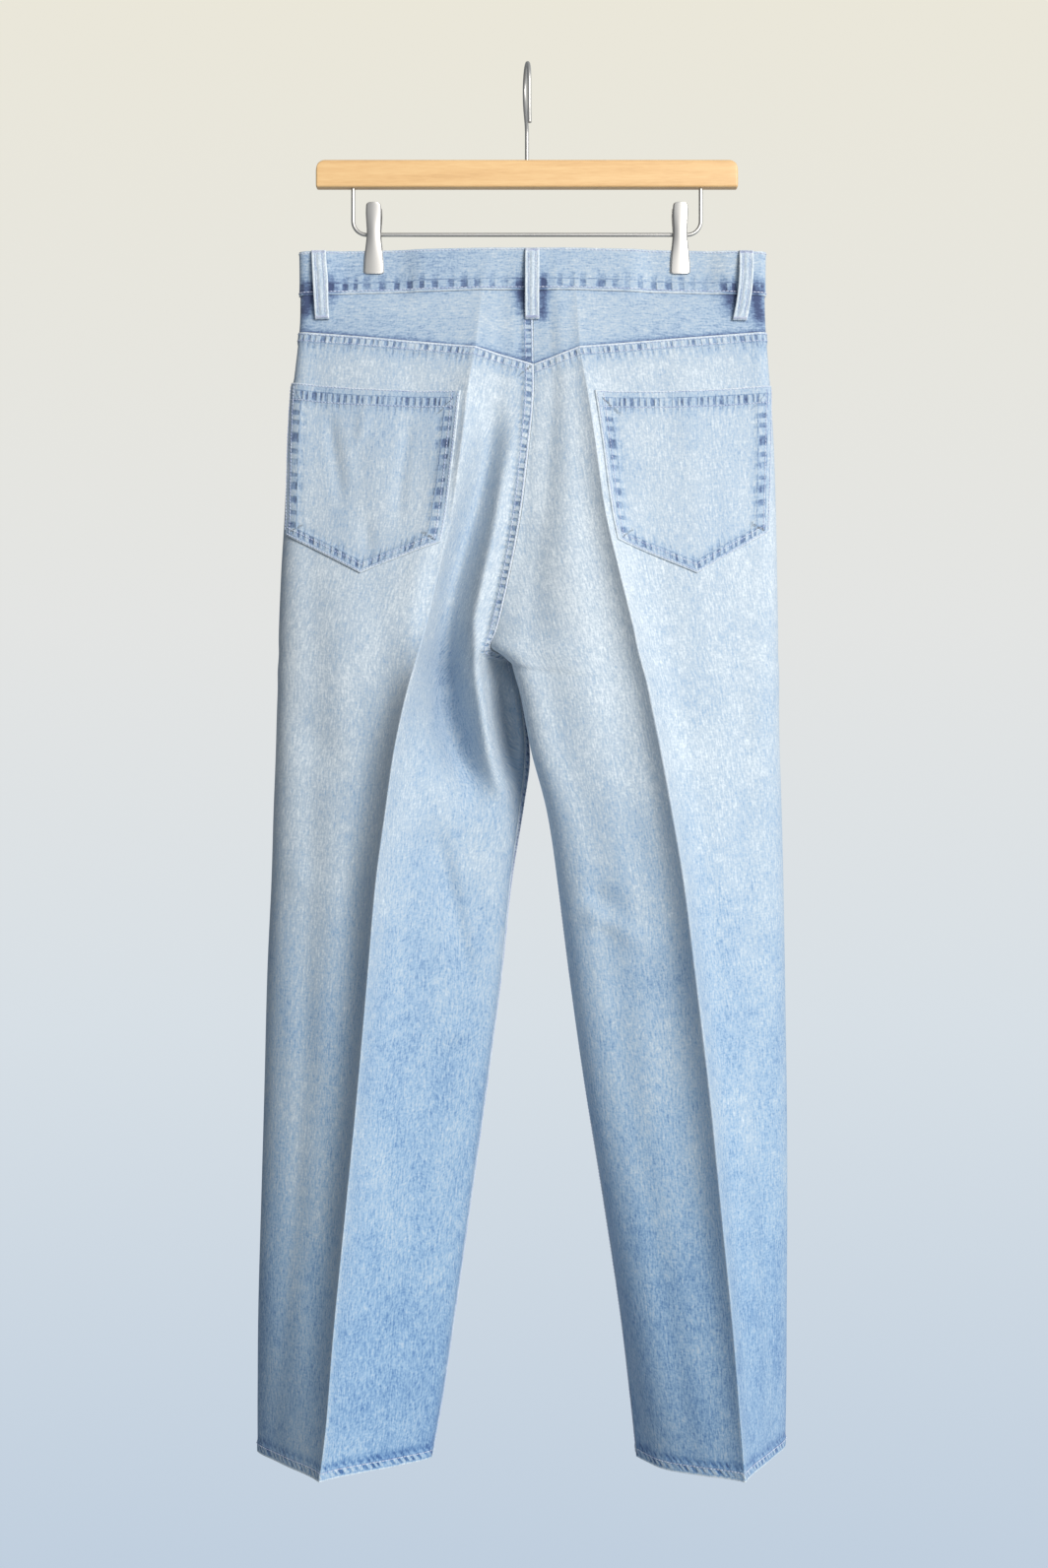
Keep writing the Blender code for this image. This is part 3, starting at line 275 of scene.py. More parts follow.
# %% Corners and roundings
# level, corner's offset from the inner line in x, y and z, rounding before and after it
BACK_LEFT_BEND = np.array([
    (0, -6, 0, 0, 6, 6), (2, -9, 0, 0, 8, 6), (4, -13, 1, 0, 8, 7), (6, -14, 2, -4, 8, 8),
    (7, -18, 2, -8, 9, 9), (8, -17, -6, -12, 9, 9), (9, -22, -22, -16, 9, 12),
    (10, -30, -40, -24, 9, 14), (11, -31, -38, -26, 9, 16), (12, -26, -30, -10, 10, 20),
    (13, -10, -24, -4, 18, 20), (14, -1, -20, 0, 28, 18), (16, 0, -20, 0, 32, 18),
    (18, -1, -16, 0, 26, 14), (20, -4, -9, 0, 18, 8),
], float)
BACK_RIGHT_BEND = np.array([
    (0, 6, 0, 0, 6, 6), (6, 9, -3, 0, 9, 8), (7, 12, -9, -2, 12, 14),
    (8, 13, -22, -4, 16, 20), (9, 8, -45, -8, 20, 28), (10, -2, -68, -14, 23, 34),
    (11, -11, -77, -8, 24, 38), (12, -9, -80, -3, 26, 40), (13, -5, -78, 0, 28, 42),
    (14, -2, -74, 0, 30, 42), (16, -3, -62, 0, 34, 40), (18, 6, -52, 0, 32, 34),
    (19, 16, -48, 0, 28, 28), (20, 24, -44, 0, 26, 20),
], float)
FRONT_BEND = np.array([
    (0, 6, 0, 0, 6, 6), (6, 8, 0, 0, 8, 6), (7, 10, 1, 0, 9, 7), (8, 14, 6, -6, 12, 9),
    (9, 20, 16, -12, 16, 14), (10, 16, 30, -22, 22, 24), (11, 4, 28, -12, 28, 22),
    (12, 0, 24, -4, 32, 20), (13, 0, 22, 0, 34, 20), (14.5, 0, 22, 0, 34, 20),
    (20, 0, 22, 0, 36, 20),
], float)
FRONT_LEFT_BEND = FRONT_BEND * (1, -1, 1, 1, 1, 1)
FRONT_LEFT_BEND[6:10, 1] = (4, 13, 9, 2)
BENDS = {"back_left": BACK_LEFT_BEND, "back_right": BACK_RIGHT_BEND,
         "front_left": FRONT_LEFT_BEND, "front_right": FRONT_BEND}
# heights down, then millimetres at those heights
OUTER_BEND = ((165, 240, 290, 500, 800, 1228), (4.5, 6, 8, 12, 16, 18))
# how far the side of the leg stands out beyond that bend: heights down, millimetres
OUTER_FULL = ((165, 240, 290, 400, 500, 620, 800, 950, 1080, 1180, 1228),
              (0, 2, 6, 14, 22, 30, 32, 28, 16, -2, -10))
# depth and reach of the pinch beside a crease, outer and inner facet
PINCH = ((165, 240, 340, 450, 600, 800, 1000, 1120, 1228), (0, 2, 10, 20, 32, 35, 30, 18, 6),
         (0, 2, 9, 16, 24, 26, 23, 16, 6))
OUTER_BULGE = ((165, 290, 500, 800, 1100, 1228), (0, 2, 5, 6, 4, 1))
BULGE = {
    "back_left": ((165, 290, 400, 500, 560, 640, 800, 1228), (0, -2, -5, -6, -6, -3, -1, 1)),
    "back_right": ((165, 290, 400, 500, 600, 800, 1228), (0, 3, 6, 5, 5, 4, 1)),
    "front_left": ((165, 290, 500, 700, 1228), (0, 0, -5, -4, -3)),
    "front_right": ((165, 290, 500, 700, 1228), (0, 0, -5, -4, -3)),
}
print("bend tables:", len(BENDS))


# %% One facet
def facet(start, corner, end, before, after, bulge, count):
    """Straight line to the corner plus bulge * sin^2(pi t^1.4), a quadratic bend, a straight end.

    Gives count + 1 points at even distances for each level, and the length of each line.
    """
    into, onward = unit(corner - start), unit(end - corner)
    reach_in = np.linalg.norm(corner - start, axis=1)
    reach_on = np.linalg.norm(end - corner, axis=1)
    leave = corner - into * np.minimum(before, 0.9 * reach_in)[:, None]
    join = corner + onward * np.minimum(after, 0.98 * reach_on)[:, None]
    t = np.linspace(0, 1, 2 * count + 1)[:, None, None]
    flat = start + (leave - start) * t
    flat[..., 1] += bulge[None, :] * np.sin(math.pi * t[..., 0] ** 1.4) ** 2
    bend = (1 - t) ** 2 * leave + 2 * t * (1 - t) * corner + t ** 2 * join
    line = np.concatenate([flat[:-1], bend[:-1], join + (end - join) * t])
    steps = np.linalg.norm(np.diff(line, axis=0), axis=2)
    reach = np.vstack([np.zeros(len(start)), np.cumsum(steps, axis=0)])
    even = np.linspace(0, 1, count + 1)
    out = np.empty((len(start), count + 1, 3))
    for row in range(len(start)):
        share = reach[:, row] / reach[-1, row]
        for axis in range(3):
            out[row, :, axis] = np.interp(even, share, line[:, row, axis])
    return out, reach[-1]


# %% [markdown]
# ## Folds
#
# Folds are given as ridges and troughs along short lines. The deep one on the left
# thigh hangs from the end of the centre seam. The rest are soft: pulls beside the creases,
# puckers in a pocket, a kink at each knee, and dents where the clips hold the waistband. They
# could be sculpted, but a line with a height and a width can be read and moved.

# %% Fold lines
# face, then points of a line with x, z, height and half width
FOLDS = (
    ("back_left", ((-10, -305, 0, 6), (-14, -340, 4, 7), (-22, -378, 6, 7), (-28, -416, 7, 7),
                   (-37, -455, 8, 7), (-45, -492, 9, 7), (-45, -517, 11, 7), (-42, -548, 15, 8),
                   (-37, -582, 16, 8), (-32, -611, 13, 8), (-25, -632, 8, 8), (-12, -660, 0, 8))),
    ("back_left", ((-30, -528, 0, 7), (-24, -550, -6, 9), (-20, -572, -12, 10),
                   (-16, -597, -12, 9), (-12, -632, 0, 7))),
    ("back_left", ((-30, -296, 0, 10), (-35, -340, -12, 12), (-44, -378, -19, 14),
                   (-56, -416, -27, 16), (-67, -455, -35, 17), (-73, -492, -41, 18),
                   (-75, -531, -45, 18.5), (-71, -568, -44, 18.5), (-61, -604, -33, 17),
                   (-49, -635, -12, 15), (-40, -665, 0, 14))),
    ("back_left", ((-88, -665, 0, 18), (-78, -690, -4, 18), (-60, -735, -4, 16), (-48, -780, 0, 14))),
    ("back_right", ((48, -742, 0, 8), (60, -750, 3.5, 9), (92, -766, 2, 10), (112, -775, 0, 10))),
    ("back_right", ((48, -722, 0, 8), (60, -730, -3, 9), (90, -742, 0, 10))),
    ("back_right", ((24, -380, 0, 22), (34, -450, 4, 24), (48, -540, 4, 26), (62, -620, 0, 26))),
    ("front_left", ((-40, -490, 0, 12), (-56, -520, 5, 12), (-84, -570, 0, 12))),
    ("front_right", ((40, -490, 0, 12), (58, -520, 5, 12), (90, -575, 0, 12))),
    ("front_right", ((58, -738, 0, 10), (78, -752, -3, 10), (100, -770, 0, 10))),
    # finer creases, in the cloth alone
    ("back_left", ((-172, -306, 0, 5), (-170, -330, -2.2, 5), (-163, -375, -1.8, 6),
                   (-160, -400, 0, 5))),
    ("back_left", ((-158, -312, 0, 6), (-156, -345, 1.4, 6), (-150, -385, 0, 6))),
    ("back_left", ((-104, -312, 0, 5), (-104, -335, -1.6, 5), (-110, -385, -2.0, 6),
                   (-110, -415, 0, 6))),
    ("back_left", ((-140, -398, 0, 5), (-138, -420, -1.5, 5), (-136, -446, 0, 5))),
    ("back_left", ((-210, -560, 0, 14), (-180, -600, -1.6, 16), (-150, -640, 0, 14))),
    ("back_left", ((-226, -700, 0, 12), (-200, -712, 1.4, 12), (-165, -740, 0, 14))),
    ("back_left", ((-62, -812, 0, 14), (-70, -870, -2.2, 16), (-82, -930, 0, 14))),
    ("back_left", ((-90, -640, 0, 9), (-82, -682, -3.4, 10), (-68, -735, -3.8, 10),
                   (-54, -790, -2.4, 9), (-46, -822, 0, 8))),
    ("back_left", ((-66, -664, 0, 7), (-59, -712, 2.4, 8), (-46, -772, 1.8, 8), (-38, -806, 0, 7))),
    ("back_left", ((-140, -300, 0, 4), (-143, -326, 1.8, 4), (-150, -350, 0, 5))),
    ("back_right", ((66, -300, 0, 6), (70, -345, -1.8, 7), (80, -400, 0, 8))),
    ("back_left", ((-52, -842, 0, 7), (-58, -850, 2.5, 7), (-74, -862, 0, 9))),
    ("back_right", ((212, -560, 0, 14), (190, -610, 1.6, 16), (168, -660, 0, 16))),
    ("back_right", ((80, -640, 0, 14), (96, -700, -1.8, 16), (112, -760, 0, 14))),
    ("back_right", ((56, -756, 0, 6), (66, -760, -2, 6), (84, -768, 0, 7))),
    ("back_right", ((118, -792, 0, 16), (90, -812, -1.6, 16), (66, -822, 0, 12))),
    ("back_right", ((216, -760, 0, 12), (196, -778, -1.2, 12), (166, -790, 0, 14))),
    ("front_left", ((-190, -330, 0, 10), (-160, -352, 1.6, 10), (-126, -366, 0, 10))),
    ("front_left", ((-60, -452, 0, 9), (-84, -470, 2.2, 9), (-104, -480, 0, 9))),
    ("front_left", ((-200, -760, 0, 14), (-168, -772, -1.8, 14), (-136, -790, 0, 12))),
    ("front_right", ((196, -330, 0, 10), (166, -348, 1.5, 10), (134, -360, 0, 10))),
    ("front_right", ((62, -448, 0, 9), (84, -468, 2.2, 9), (106, -482, 0, 9))),
    ("front_right", ((214, -700, 0, 14), (184, -726, -1.6, 14), (150, -748, 0, 12))),
)
print("folds:", len(FOLDS))


# %% Relief of the folds
def fold_relief(name, x, z):
    """Sum over folds of height * bell(distance to the fold's line). Both vary along the line."""
    relief = np.zeros_like(x)
    for face, line in FOLDS:
        if face != name:
            continue
        nearest = np.full_like(x, 1e9)
        height, width = np.zeros_like(x), np.ones_like(x)
        for (x0, z0, h0, w0), (x1, z1, h1, w1) in zip(line, line[1:]):
            along_x, along_z = x1 - x0, z1 - z0
            t = ((x - x0) * along_x + (z - z0) * along_z) / (along_x ** 2 + along_z ** 2)
            t = np.clip(t, 0, 1)
            away = np.hypot(x - x0 - t * along_x, z - z0 - t * along_z)
            closer = away < nearest
            nearest = np.where(closer, away, nearest)
            height = np.where(closer, h0 + (h1 - h0) * t, height)
            width = np.where(closer, w0 + (w1 - w0) * t, width)
        relief += height * bell(nearest, width)
    return relief


WAVE_LENGTHS = (150.0, 96.0, 61.0, 38.0)
WAVE_SQUEEZE = 1.4      # the waves are shorter across a leg than down it


def drape(x, z, seed):
    """Slow waves of worn cloth: sines as high as they are long, turned and shifted by the seed."""
    pick = np.random.default_rng(seed)
    waves = np.zeros_like(x)
    for length in WAVE_LENGTHS:
        turn, phase = pick.uniform(-0.5, 0.5), pick.uniform(0, 6.28)
        way = x * math.cos(turn) * WAVE_SQUEEZE + z * math.sin(turn)
        waves += length / WAVE_LENGTHS[0] * np.sin(6.28 / length * way + phase)
    return waves


print("waves of worn cloth:", len(WAVE_LENGTHS))

# %% [markdown]
# ## The cloth surface
#
# A face of a leg becomes a grid with a level for each row and a position for each column.
# Position -1 is the outseam, 0 the pressed crease and +1 the inner line. Sewn pieces are
# sampled from this grid, so a pocket or a loop follows every fold below it. A Shrinkwrap
# modifier could lay them on too, but it would slide them over the folds.

# %% Build the four faces
FACET_SAMPLES, LEVEL_SAMPLES = 72, 20
PINCH_REACH, SIDE_LEAN = 14.0, 0.115
CROTCH_GAP = 1.6        # the seams' gap widens by this share where four panels meet
WAVE_HEIGHT = 0.45      # millimetres
EDGE_CALM = 0.10        # share of a facet over which folds die out at its edges


class Face:
    """One leg and face of the cloth: points and outward directions for levels and positions."""

    def __init__(self, face, leg):
        self.name, self.left = f"{face}_{leg}", leg == "left"
        self.out = -1 if face == "back" else 1
        self.levels = np.linspace(0, LEVELS - 1, (LEVELS - 1) * LEVEL_SAMPLES + 1)
        grid, depth = self.pressed(face)
        grid = self.gripped(self.folded(grid, depth))
        normal = np.cross(np.gradient(grid, axis=0), np.gradient(grid, axis=1))
        self.grid = grid
        self.normal = unit(normal) * (1.0 if np.mean(normal[..., 1]) * self.out > 0 else -1.0)

    def pressed(self, face):
        """Both facets of the ironed leg, with no folds, and how far down the outseam each level is."""
        out, levels = self.out, self.levels
        table = BACK_CREASE if face == "back" else FRONT_CREASE
        crease_x = table[:, 1 if self.left else 2]
        crease = along(np.stack([crease_x, out * table[:, 3], table[:, 0]], axis=1), levels)
        outseam = along(OUTSEAM[:, [1, 2, 0] if self.left else [3, 4, 0]], levels)
        inner, across = self.inner_line(face, self.left)
        across = unit(across) * SEAM_GAP / 2 * (1 + CROTCH_GAP * bell(levels[:, None] - CROTCH, 0.5))
        inner = inner - across
        outseam = outseam + np.array((0.0, out * SEAM_GAP / 2, 0.0))
        depth = -outseam[:, 2]
        roll, full = np.interp(depth, *OUTER_BEND), np.interp(depth, *OUTER_FULL)
        inward = -SIDE_LEAN * full * np.sign(outseam[:, 0])
        corner = outseam + np.stack([inward, out * (roll + full), roll * 0], axis=1)
        outer, self.outer_length = facet(crease, corner, outseam, 1.6 * roll + 0.3 * full,
                                         roll + 0.6 * full, out * np.interp(depth, *OUTER_BULGE),
                                         FACET_SAMPLES)
        bend = np.stack([np.interp(levels, BENDS[self.name][:, 0], BENDS[self.name][:, k])
                         for k in range(1, 6)], axis=1)
        bend[:, :3] = soften(bend[:, :3], LEVEL_SAMPLES // 2)
        share = np.abs(bend[:, 0] / (crease[:, 0] - inner[:, 0])) * (1 - smooth(levels, 6, 8))
        bend[:, 2] += (crease[:, 2] - inner[:, 2]) * share
        inside, self.inner_length = facet(crease, inner + bend[:, :3], inner, bend[:, 3], bend[:, 4],
                                          out * np.interp(depth, *BULGE[self.name]), FACET_SAMPLES)
        return np.concatenate([outer[:, ::-1], inside[:, 1:]], axis=1), depth

    def folded(self, grid, depth):
        """Folds, and a pinch beside the crease of depth * (1 - exp(-distance / reach))."""
        position = np.linspace(-1, 1, grid.shape[1])
        distance = np.where(position < 0, -position * self.outer_length[:, None],
                            position * self.inner_length[:, None])
        from_edge = 1 - np.abs(position)
        depths = [np.interp(depth, PINCH[0], PINCH[k])[:, None] for k in (1, 2)]
        pinch = np.where(position < 0, depths[0], depths[1])
        sunk = pinch * (1 - np.exp(-distance / PINCH_REACH)) * from_edge
        relief = fold_relief(self.name, grid[..., 0], grid[..., 2])
        waves = WAVE_HEIGHT * drape(grid[..., 0], grid[..., 2], len(self.name) + self.left)
        relief += waves * smooth(distance, 3, 25) * smooth(self.levels, 1.2, 3)[:, None]
        grid[..., 1] += self.out * (relief * smooth(from_edge, 0, EDGE_CALM) - sunk)
        return grid

    def gripped(self, grid):
        """The clips press the waistband flat around each grip."""
        near = 1 - smooth(np.abs(np.abs(grid[..., 0]) - CLIP_X), 23, 44)
        near = near * smooth(grid[..., 2], -216, -186)
        grid[..., 1] += (np.sign(grid[..., 1]) * CLIP_GRIP - grid[..., 1]) * near
        return grid

    def inner_line(self, face, left):
        """Rise seam and inseam at every level, and the direction in which the cloth crosses them."""
        rise = BACK_RISE if face == "back" else FRONT_RISE
        column = 1 if left else 4
        turn = np.radians(INSEAM[:, column + 2])
        cross = np.stack([np.sin(turn), np.cos(turn), turn * 0], axis=1) * (1 if face == "back" else -1)
        sideways = np.tile((1.0 if left else -1.0, 0.0, 0.0), (CROTCH + 1, 1))
        sideways[-1] += cross[0]
        points = np.vstack([rise[:, [1, 2, 0]], INSEAM[:, [column, column + 1, 0]]])
        above, below = self.levels <= CROTCH, self.levels > CROTCH
        line = np.vstack([along(points[:CROTCH + 1], self.levels[above]),
                          along(points[CROTCH:], self.levels[below] - CROTCH)])
        return line, along(np.vstack([sideways, cross]), self.levels)

    def sample(self, level, position, values):
        """Bilinear sampling of values at any levels and positions."""
        row = np.clip(np.asarray(level, float) * LEVEL_SAMPLES, 0, len(self.levels) - 1)
        column = np.clip((np.asarray(position, float) + 1) * FACET_SAMPLES, 0, 2 * FACET_SAMPLES)
        row, column = np.broadcast_arrays(row, column)
        i = np.minimum(row.astype(int), len(self.levels) - 2)
        j = np.minimum(column.astype(int), 2 * FACET_SAMPLES - 1)
        a, b = (row - i)[..., None], (column - j)[..., None]
        return ((values[i, j] * (1 - a) + values[i + 1, j] * a) * (1 - b)
                + (values[i, j + 1] * (1 - a) + values[i + 1, j + 1] * a) * b)

    def points(self, level, position, lift=0.0):
        """Points of the cloth moved outwards: p + normal * lift."""
        normal = unit(self.sample(level, position, self.normal))
        return self.sample(level, position, self.grid) + normal * np.asarray(lift, float)[..., None]

    def level_at(self, z):
        """Level at which the outseam has this height."""
        return np.interp(-np.asarray(z, float), -OUTSEAM[:, 0], np.arange(LEVELS))

    def length(self, level, side):
        """Length of the inner (side 1) or outer (side -1) facet at a level."""
        lengths = self.inner_length if side > 0 else self.outer_length
        return np.interp(level, self.levels, lengths)

    def locate(self, x, z, position):
        """Level and position with this x and z: Newton steps on the surface from a first position."""
        x, z = np.broadcast_arrays(np.asarray(x, float), np.asarray(z, float))
        level, position = self.level_at(z), np.full(x.shape, float(position))
        ahead = 0.05
        for _ in range(14):
            here = self.sample(level, position, self.grid)
            aside = np.where(position > 0, -0.02, 0.02)
            down = (self.sample(level + ahead, position, self.grid) - here) / ahead
            side = (self.sample(level, position + aside, self.grid) - here) / aside[..., None]
            dx, dz = x - here[..., 0], z - here[..., 2]
            det = down[..., 0] * side[..., 2] - down[..., 2] * side[..., 0]
            level = np.clip(level + (dx * side[..., 2] - dz * side[..., 0]) / det, 0, LEVELS - 1.1)
            position = np.clip(position + (down[..., 0] * dz - down[..., 2] * dx) / det, -1, 1)
        return level, position


LEGS = ("left", "right")
FACES = {f"{side}_{leg}": Face(side, leg) for side in ("back", "front") for leg in LEGS}
for name, face in FACES.items():
    print(name, "grid", face.grid.shape[:2])


def marry(one, two, column, rows):
    """Both sides of a seam get one direction of thickness, square to the gap between them."""
    gap = unit(two.grid[rows, column] - one.grid[rows, column])
    shared = one.normal[rows, column] + two.normal[rows, column]
    shared = unit(shared - gap * np.sum(shared * gap, axis=1, keepdims=True))
    one.normal[rows, column] = shared
    two.normal[rows, column] = shared


crotch_row = CROTCH * LEVEL_SAMPLES
for leg in LEGS:
    marry(FACES[f"back_{leg}"], FACES[f"front_{leg}"], 0, slice(None))
    marry(FACES[f"back_{leg}"], FACES[f"front_{leg}"], -1, slice(crotch_row + 1, None))
for side in ("back", "front"):
    marry(FACES[f"{side}_left"], FACES[f"{side}_right"], -1, slice(0, crotch_row + 1))

# %% [markdown]
# ## From grids to meshes
#
# A sewn piece is a thin wall: an outer grid, an inner grid, and a rim that joins them. Each
# point also carries what the denim needs to know. `wash_and_shade` says how far the dye has
# faded and where shade is painted on, and `ladder` says where the point lies in a stitched
# seam: across it, and along it in puckers. A Solidify modifier makes a wall as well, but here
# the hem is thicker inside.


# %% Meshes from arrays
def put_mesh(name, points, quads, smooth_faces=True):
    """A mesh object from points in millimetres and an array of four-cornered faces."""
    mesh = bpy.data.meshes.new(name)
    mesh.vertices.add(len(points))
    mesh.vertices.foreach_set("co", (points * MM).astype(np.float32).ravel())
    mesh.loops.add(quads.size)
    mesh.loops.foreach_set("vertex_index", quads.astype(np.int32).ravel())
    mesh.polygons.add(len(quads))
    mesh.polygons.foreach_set("loop_start", np.arange(0, quads.size, 4, dtype=np.int32))
    mesh.polygons.foreach_set("use_smooth", np.full(len(quads), smooth_faces))
    mesh.update(calc_edges=True)
    mesh.validate()
    made = bpy.data.objects.new(name, mesh)
    bpy.context.scene.collection.objects.link(made)
    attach(made, "root")
    return made


def grid_quads(rows, columns, start=0):
    """Corner numbers of the faces of a grid with this many rows and columns of points."""
    index = np.arange(rows * columns).reshape(rows, columns) + start
    corners = [index[:-1, :-1], index[:-1, 1:], index[1:, 1:], index[1:, :-1]]
    return np.stack(corners, axis=-1).reshape(-1, 4)


def rim_quads(rows, columns):
    """Faces that join the border of an outer grid to the border of the inner grid after it."""
    index = np.arange(rows * columns).reshape(rows, columns)
    ring = np.concatenate([index[0], index[1:, -1], index[-1, -2::-1], index[-2:0:-1, 0]])
    after = np.roll(ring, -1)
    return np.stack([after, ring, ring + rows * columns, after + rows * columns], axis=-1)


def carry(made, name, values, kind):
    """Stores one value for each point as a mesh attribute that the material reads."""
    layer = made.data.attributes.new(name, kind, "POINT")
    field = "value" if kind == "FLOAT" else "vector"
    layer.data.foreach_set(field, np.ascontiguousarray(values, dtype=np.float32).ravel())


# %% A wall of cloth
def cloth_wall(name, outer, inner, cut, wash_and_shade, ladder):
    """A closed wall of cloth. cut is the flat place in metres, ladder is across and along a seam."""
    rows, columns = outer.shape[:2]
    count = rows * columns
    quads = np.concatenate([grid_quads(rows, columns), grid_quads(rows, columns, count)[:, ::-1],
                            rim_quads(rows, columns)])
    row, column = rows // 2, columns // 2
    here = outer[row, column]
    rise = np.cross(outer[row, column + 1] - here, outer[row + 1, column] - here)
    if np.dot(rise, here - inner[row, column]) < 0:
        quads = quads[:, ::-1]
    made = put_mesh(name, np.concatenate([outer.reshape(-1, 3), inner.reshape(-1, 3)]), quads)
    for key, values in (("cut", cut), ("ladder", ladder)):
        pairs = np.tile(values.reshape(-1, 2), (2, 1))
        carry(made, key, np.pad(pairs, ((0, 0), (0, 1))), "FLOAT_VECTOR")
    carry(made, "wash_and_shade", np.tile(wash_and_shade.ravel(), 2), "FLOAT")
    return made


def crowded(count, pull=0.6):
    """Steps from 0 to 1 that crowd towards both ends: t - pull * sin(2 pi t) / (2 pi)."""
    t = np.linspace(0, 1, count)
    return t - pull * np.sin(2 * math.pi * t) / (2 * math.pi)


def positions(outer_count, inner_count):
    """Positions across a face, crowded at the outseam, the crease and the inner line."""
    return np.concatenate([crowded(outer_count) - 1, crowded(inner_count)[1:]])


print("mesh builders ready")

# %% [markdown]
# ## Washed denim
#
# Denim is a twill of dyed warp threads over white weft. Washing takes the dye off whatever
# stands proud: crease edges, seam edges and the tops of the puckers along a seam. The hollows
# between keep their indigo. Shade is painted on as well: in the deep fold hollows, beside
# seams and belt loops, and along the stitch rows. One material does it all, from the values
# that each point carries, so the same cloth runs through every panel. A painted picture could
# hold the fade, but it would blur close up, while threads made from noise stay sharp.


# %% Tools for materials
def new_finish(name, roughness=0.5, **sockets):
    """A new material with plain values on its shader. Gives the material, its nodes and the shader."""
    made = bpy.data.materials.new(name)
    made.use_nodes = True
    shader = made.node_tree.nodes["Principled BSDF"]
    shader.inputs["Roughness"].default_value = roughness
    for key, value in sockets.items():
        shader.inputs[key.replace("_", " ")].default_value = value
    return made, made.node_tree, shader


def carried(tree, name):
    """The values that the points of a piece carry under this name."""
    made = node(tree, "ShaderNodeAttribute")
    made.attribute_name = name
    return made


def cloth_noise(tree, cut, scale, detail, roughness):
    """Noise on the flat cloth with its own scale across and down."""
    place = node(tree, "ShaderNodeMapping", i0=cut, Scale=(*scale, 1.0))
    return node(tree, "ShaderNodeTexNoise", Vector=place.outputs[0], Scale=1.0, Detail=detail,
                Roughness=roughness).outputs["Fac"]


# %% Puckers, in the places that the ladder gives
# dye kept between puckers, the pale worn edge, and painted shade in the grooves of the stitch rows
PUCKER_DARK, EDGE_PALE, STITCH_GROOVE_SHADE = -0.36, 0.26, -0.20


def puckers(tree, ladder, fade_and_shade):
    """Dark rungs square to the seam, uneven along it, and painted shade along both stitch rows. Gives
    the new fade and shade, and the rungs' height.
    """
    place = node(tree, "ShaderNodeSeparateXYZ", i0=ladder)
    across, along_seam = place.outputs[0], place.outputs[1]
    run = node(tree, "ShaderNodeCombineXYZ", X=along_seam)
    wobble = node(tree, "ShaderNodeTexNoise", Vector=run.outputs[0], Scale=0.45, Detail=1.0)
    phase = maths(tree, "MULTIPLY_ADD", wobble.outputs["Fac"], 1.6, along_seam)
    wave = maths(tree, "SINE", maths(tree, "MULTIPLY", phase, 2 * math.pi))
    strength = node(tree, "ShaderNodeTexNoise", Vector=ladder, Scale=0.33, Detail=2.0)
    uneven = step(tree, strength.outputs["Fac"], 0.34, 0.66, 0.35, 1.25)
    rung = maths(tree, "MULTIPLY", step(tree, wave, -0.35, 0.75), uneven)
    band = maths(tree, "MULTIPLY", step(tree, across, 0.16, 0.30),
                 step(tree, across, 0.80, 0.96, 1.0, 0.0))
    tail = maths(tree, "MULTIPLY", step(tree, across, 0.98, 1.1),
                 step(tree, across, 1.15, 1.9, 1.0, 0.0))
    rung = maths(tree, "MULTIPLY", rung, maths(tree, "MULTIPLY_ADD", tail, 0.45, band))
    fade_and_shade = maths(tree, "MULTIPLY_ADD", rung, PUCKER_DARK, fade_and_shade)
    fade_and_shade = maths(tree, "MULTIPLY_ADD", step(tree, across, 0.03, 0.13, 1.0, 0.0), EDGE_PALE, fade_and_shade)
    # painted shade in the grooves along both rows of stitches
    groove_shade = maths(tree, "ADD", maths(tree, "COMPARE", across, 0.19, 0.03),
                   maths(tree, "COMPARE", across, 0.96, 0.06))
    return maths(tree, "MULTIPLY_ADD", groove_shade, STITCH_GROOVE_SHADE, fade_and_shade), rung


# %% The denim itself
INDIGO_STOPS = (
    (0.00, (0.031, 0.060, 0.165)), (0.25, (0.087, 0.163, 0.320)), (0.42, (0.170, 0.278, 0.438)),
    (0.58, (0.285, 0.402, 0.538)), (0.74, (0.398, 0.482, 0.563)), (1.00, (0.628, 0.688, 0.726)),
)
# scale across and down, detail, roughness, and how much of it goes into the fade
WARP = ((560, 110), 2.0, 0.6, 0.70)
WEFT = ((220, 640), 2.0, 0.6, 0.28)
CLOUDS = ((34, 16), 4.0, 0.6, 0.38)
SPECKS = ((620, 420), 1.0, 0.5, 0.42)
TWILL_TURN = math.radians(28)


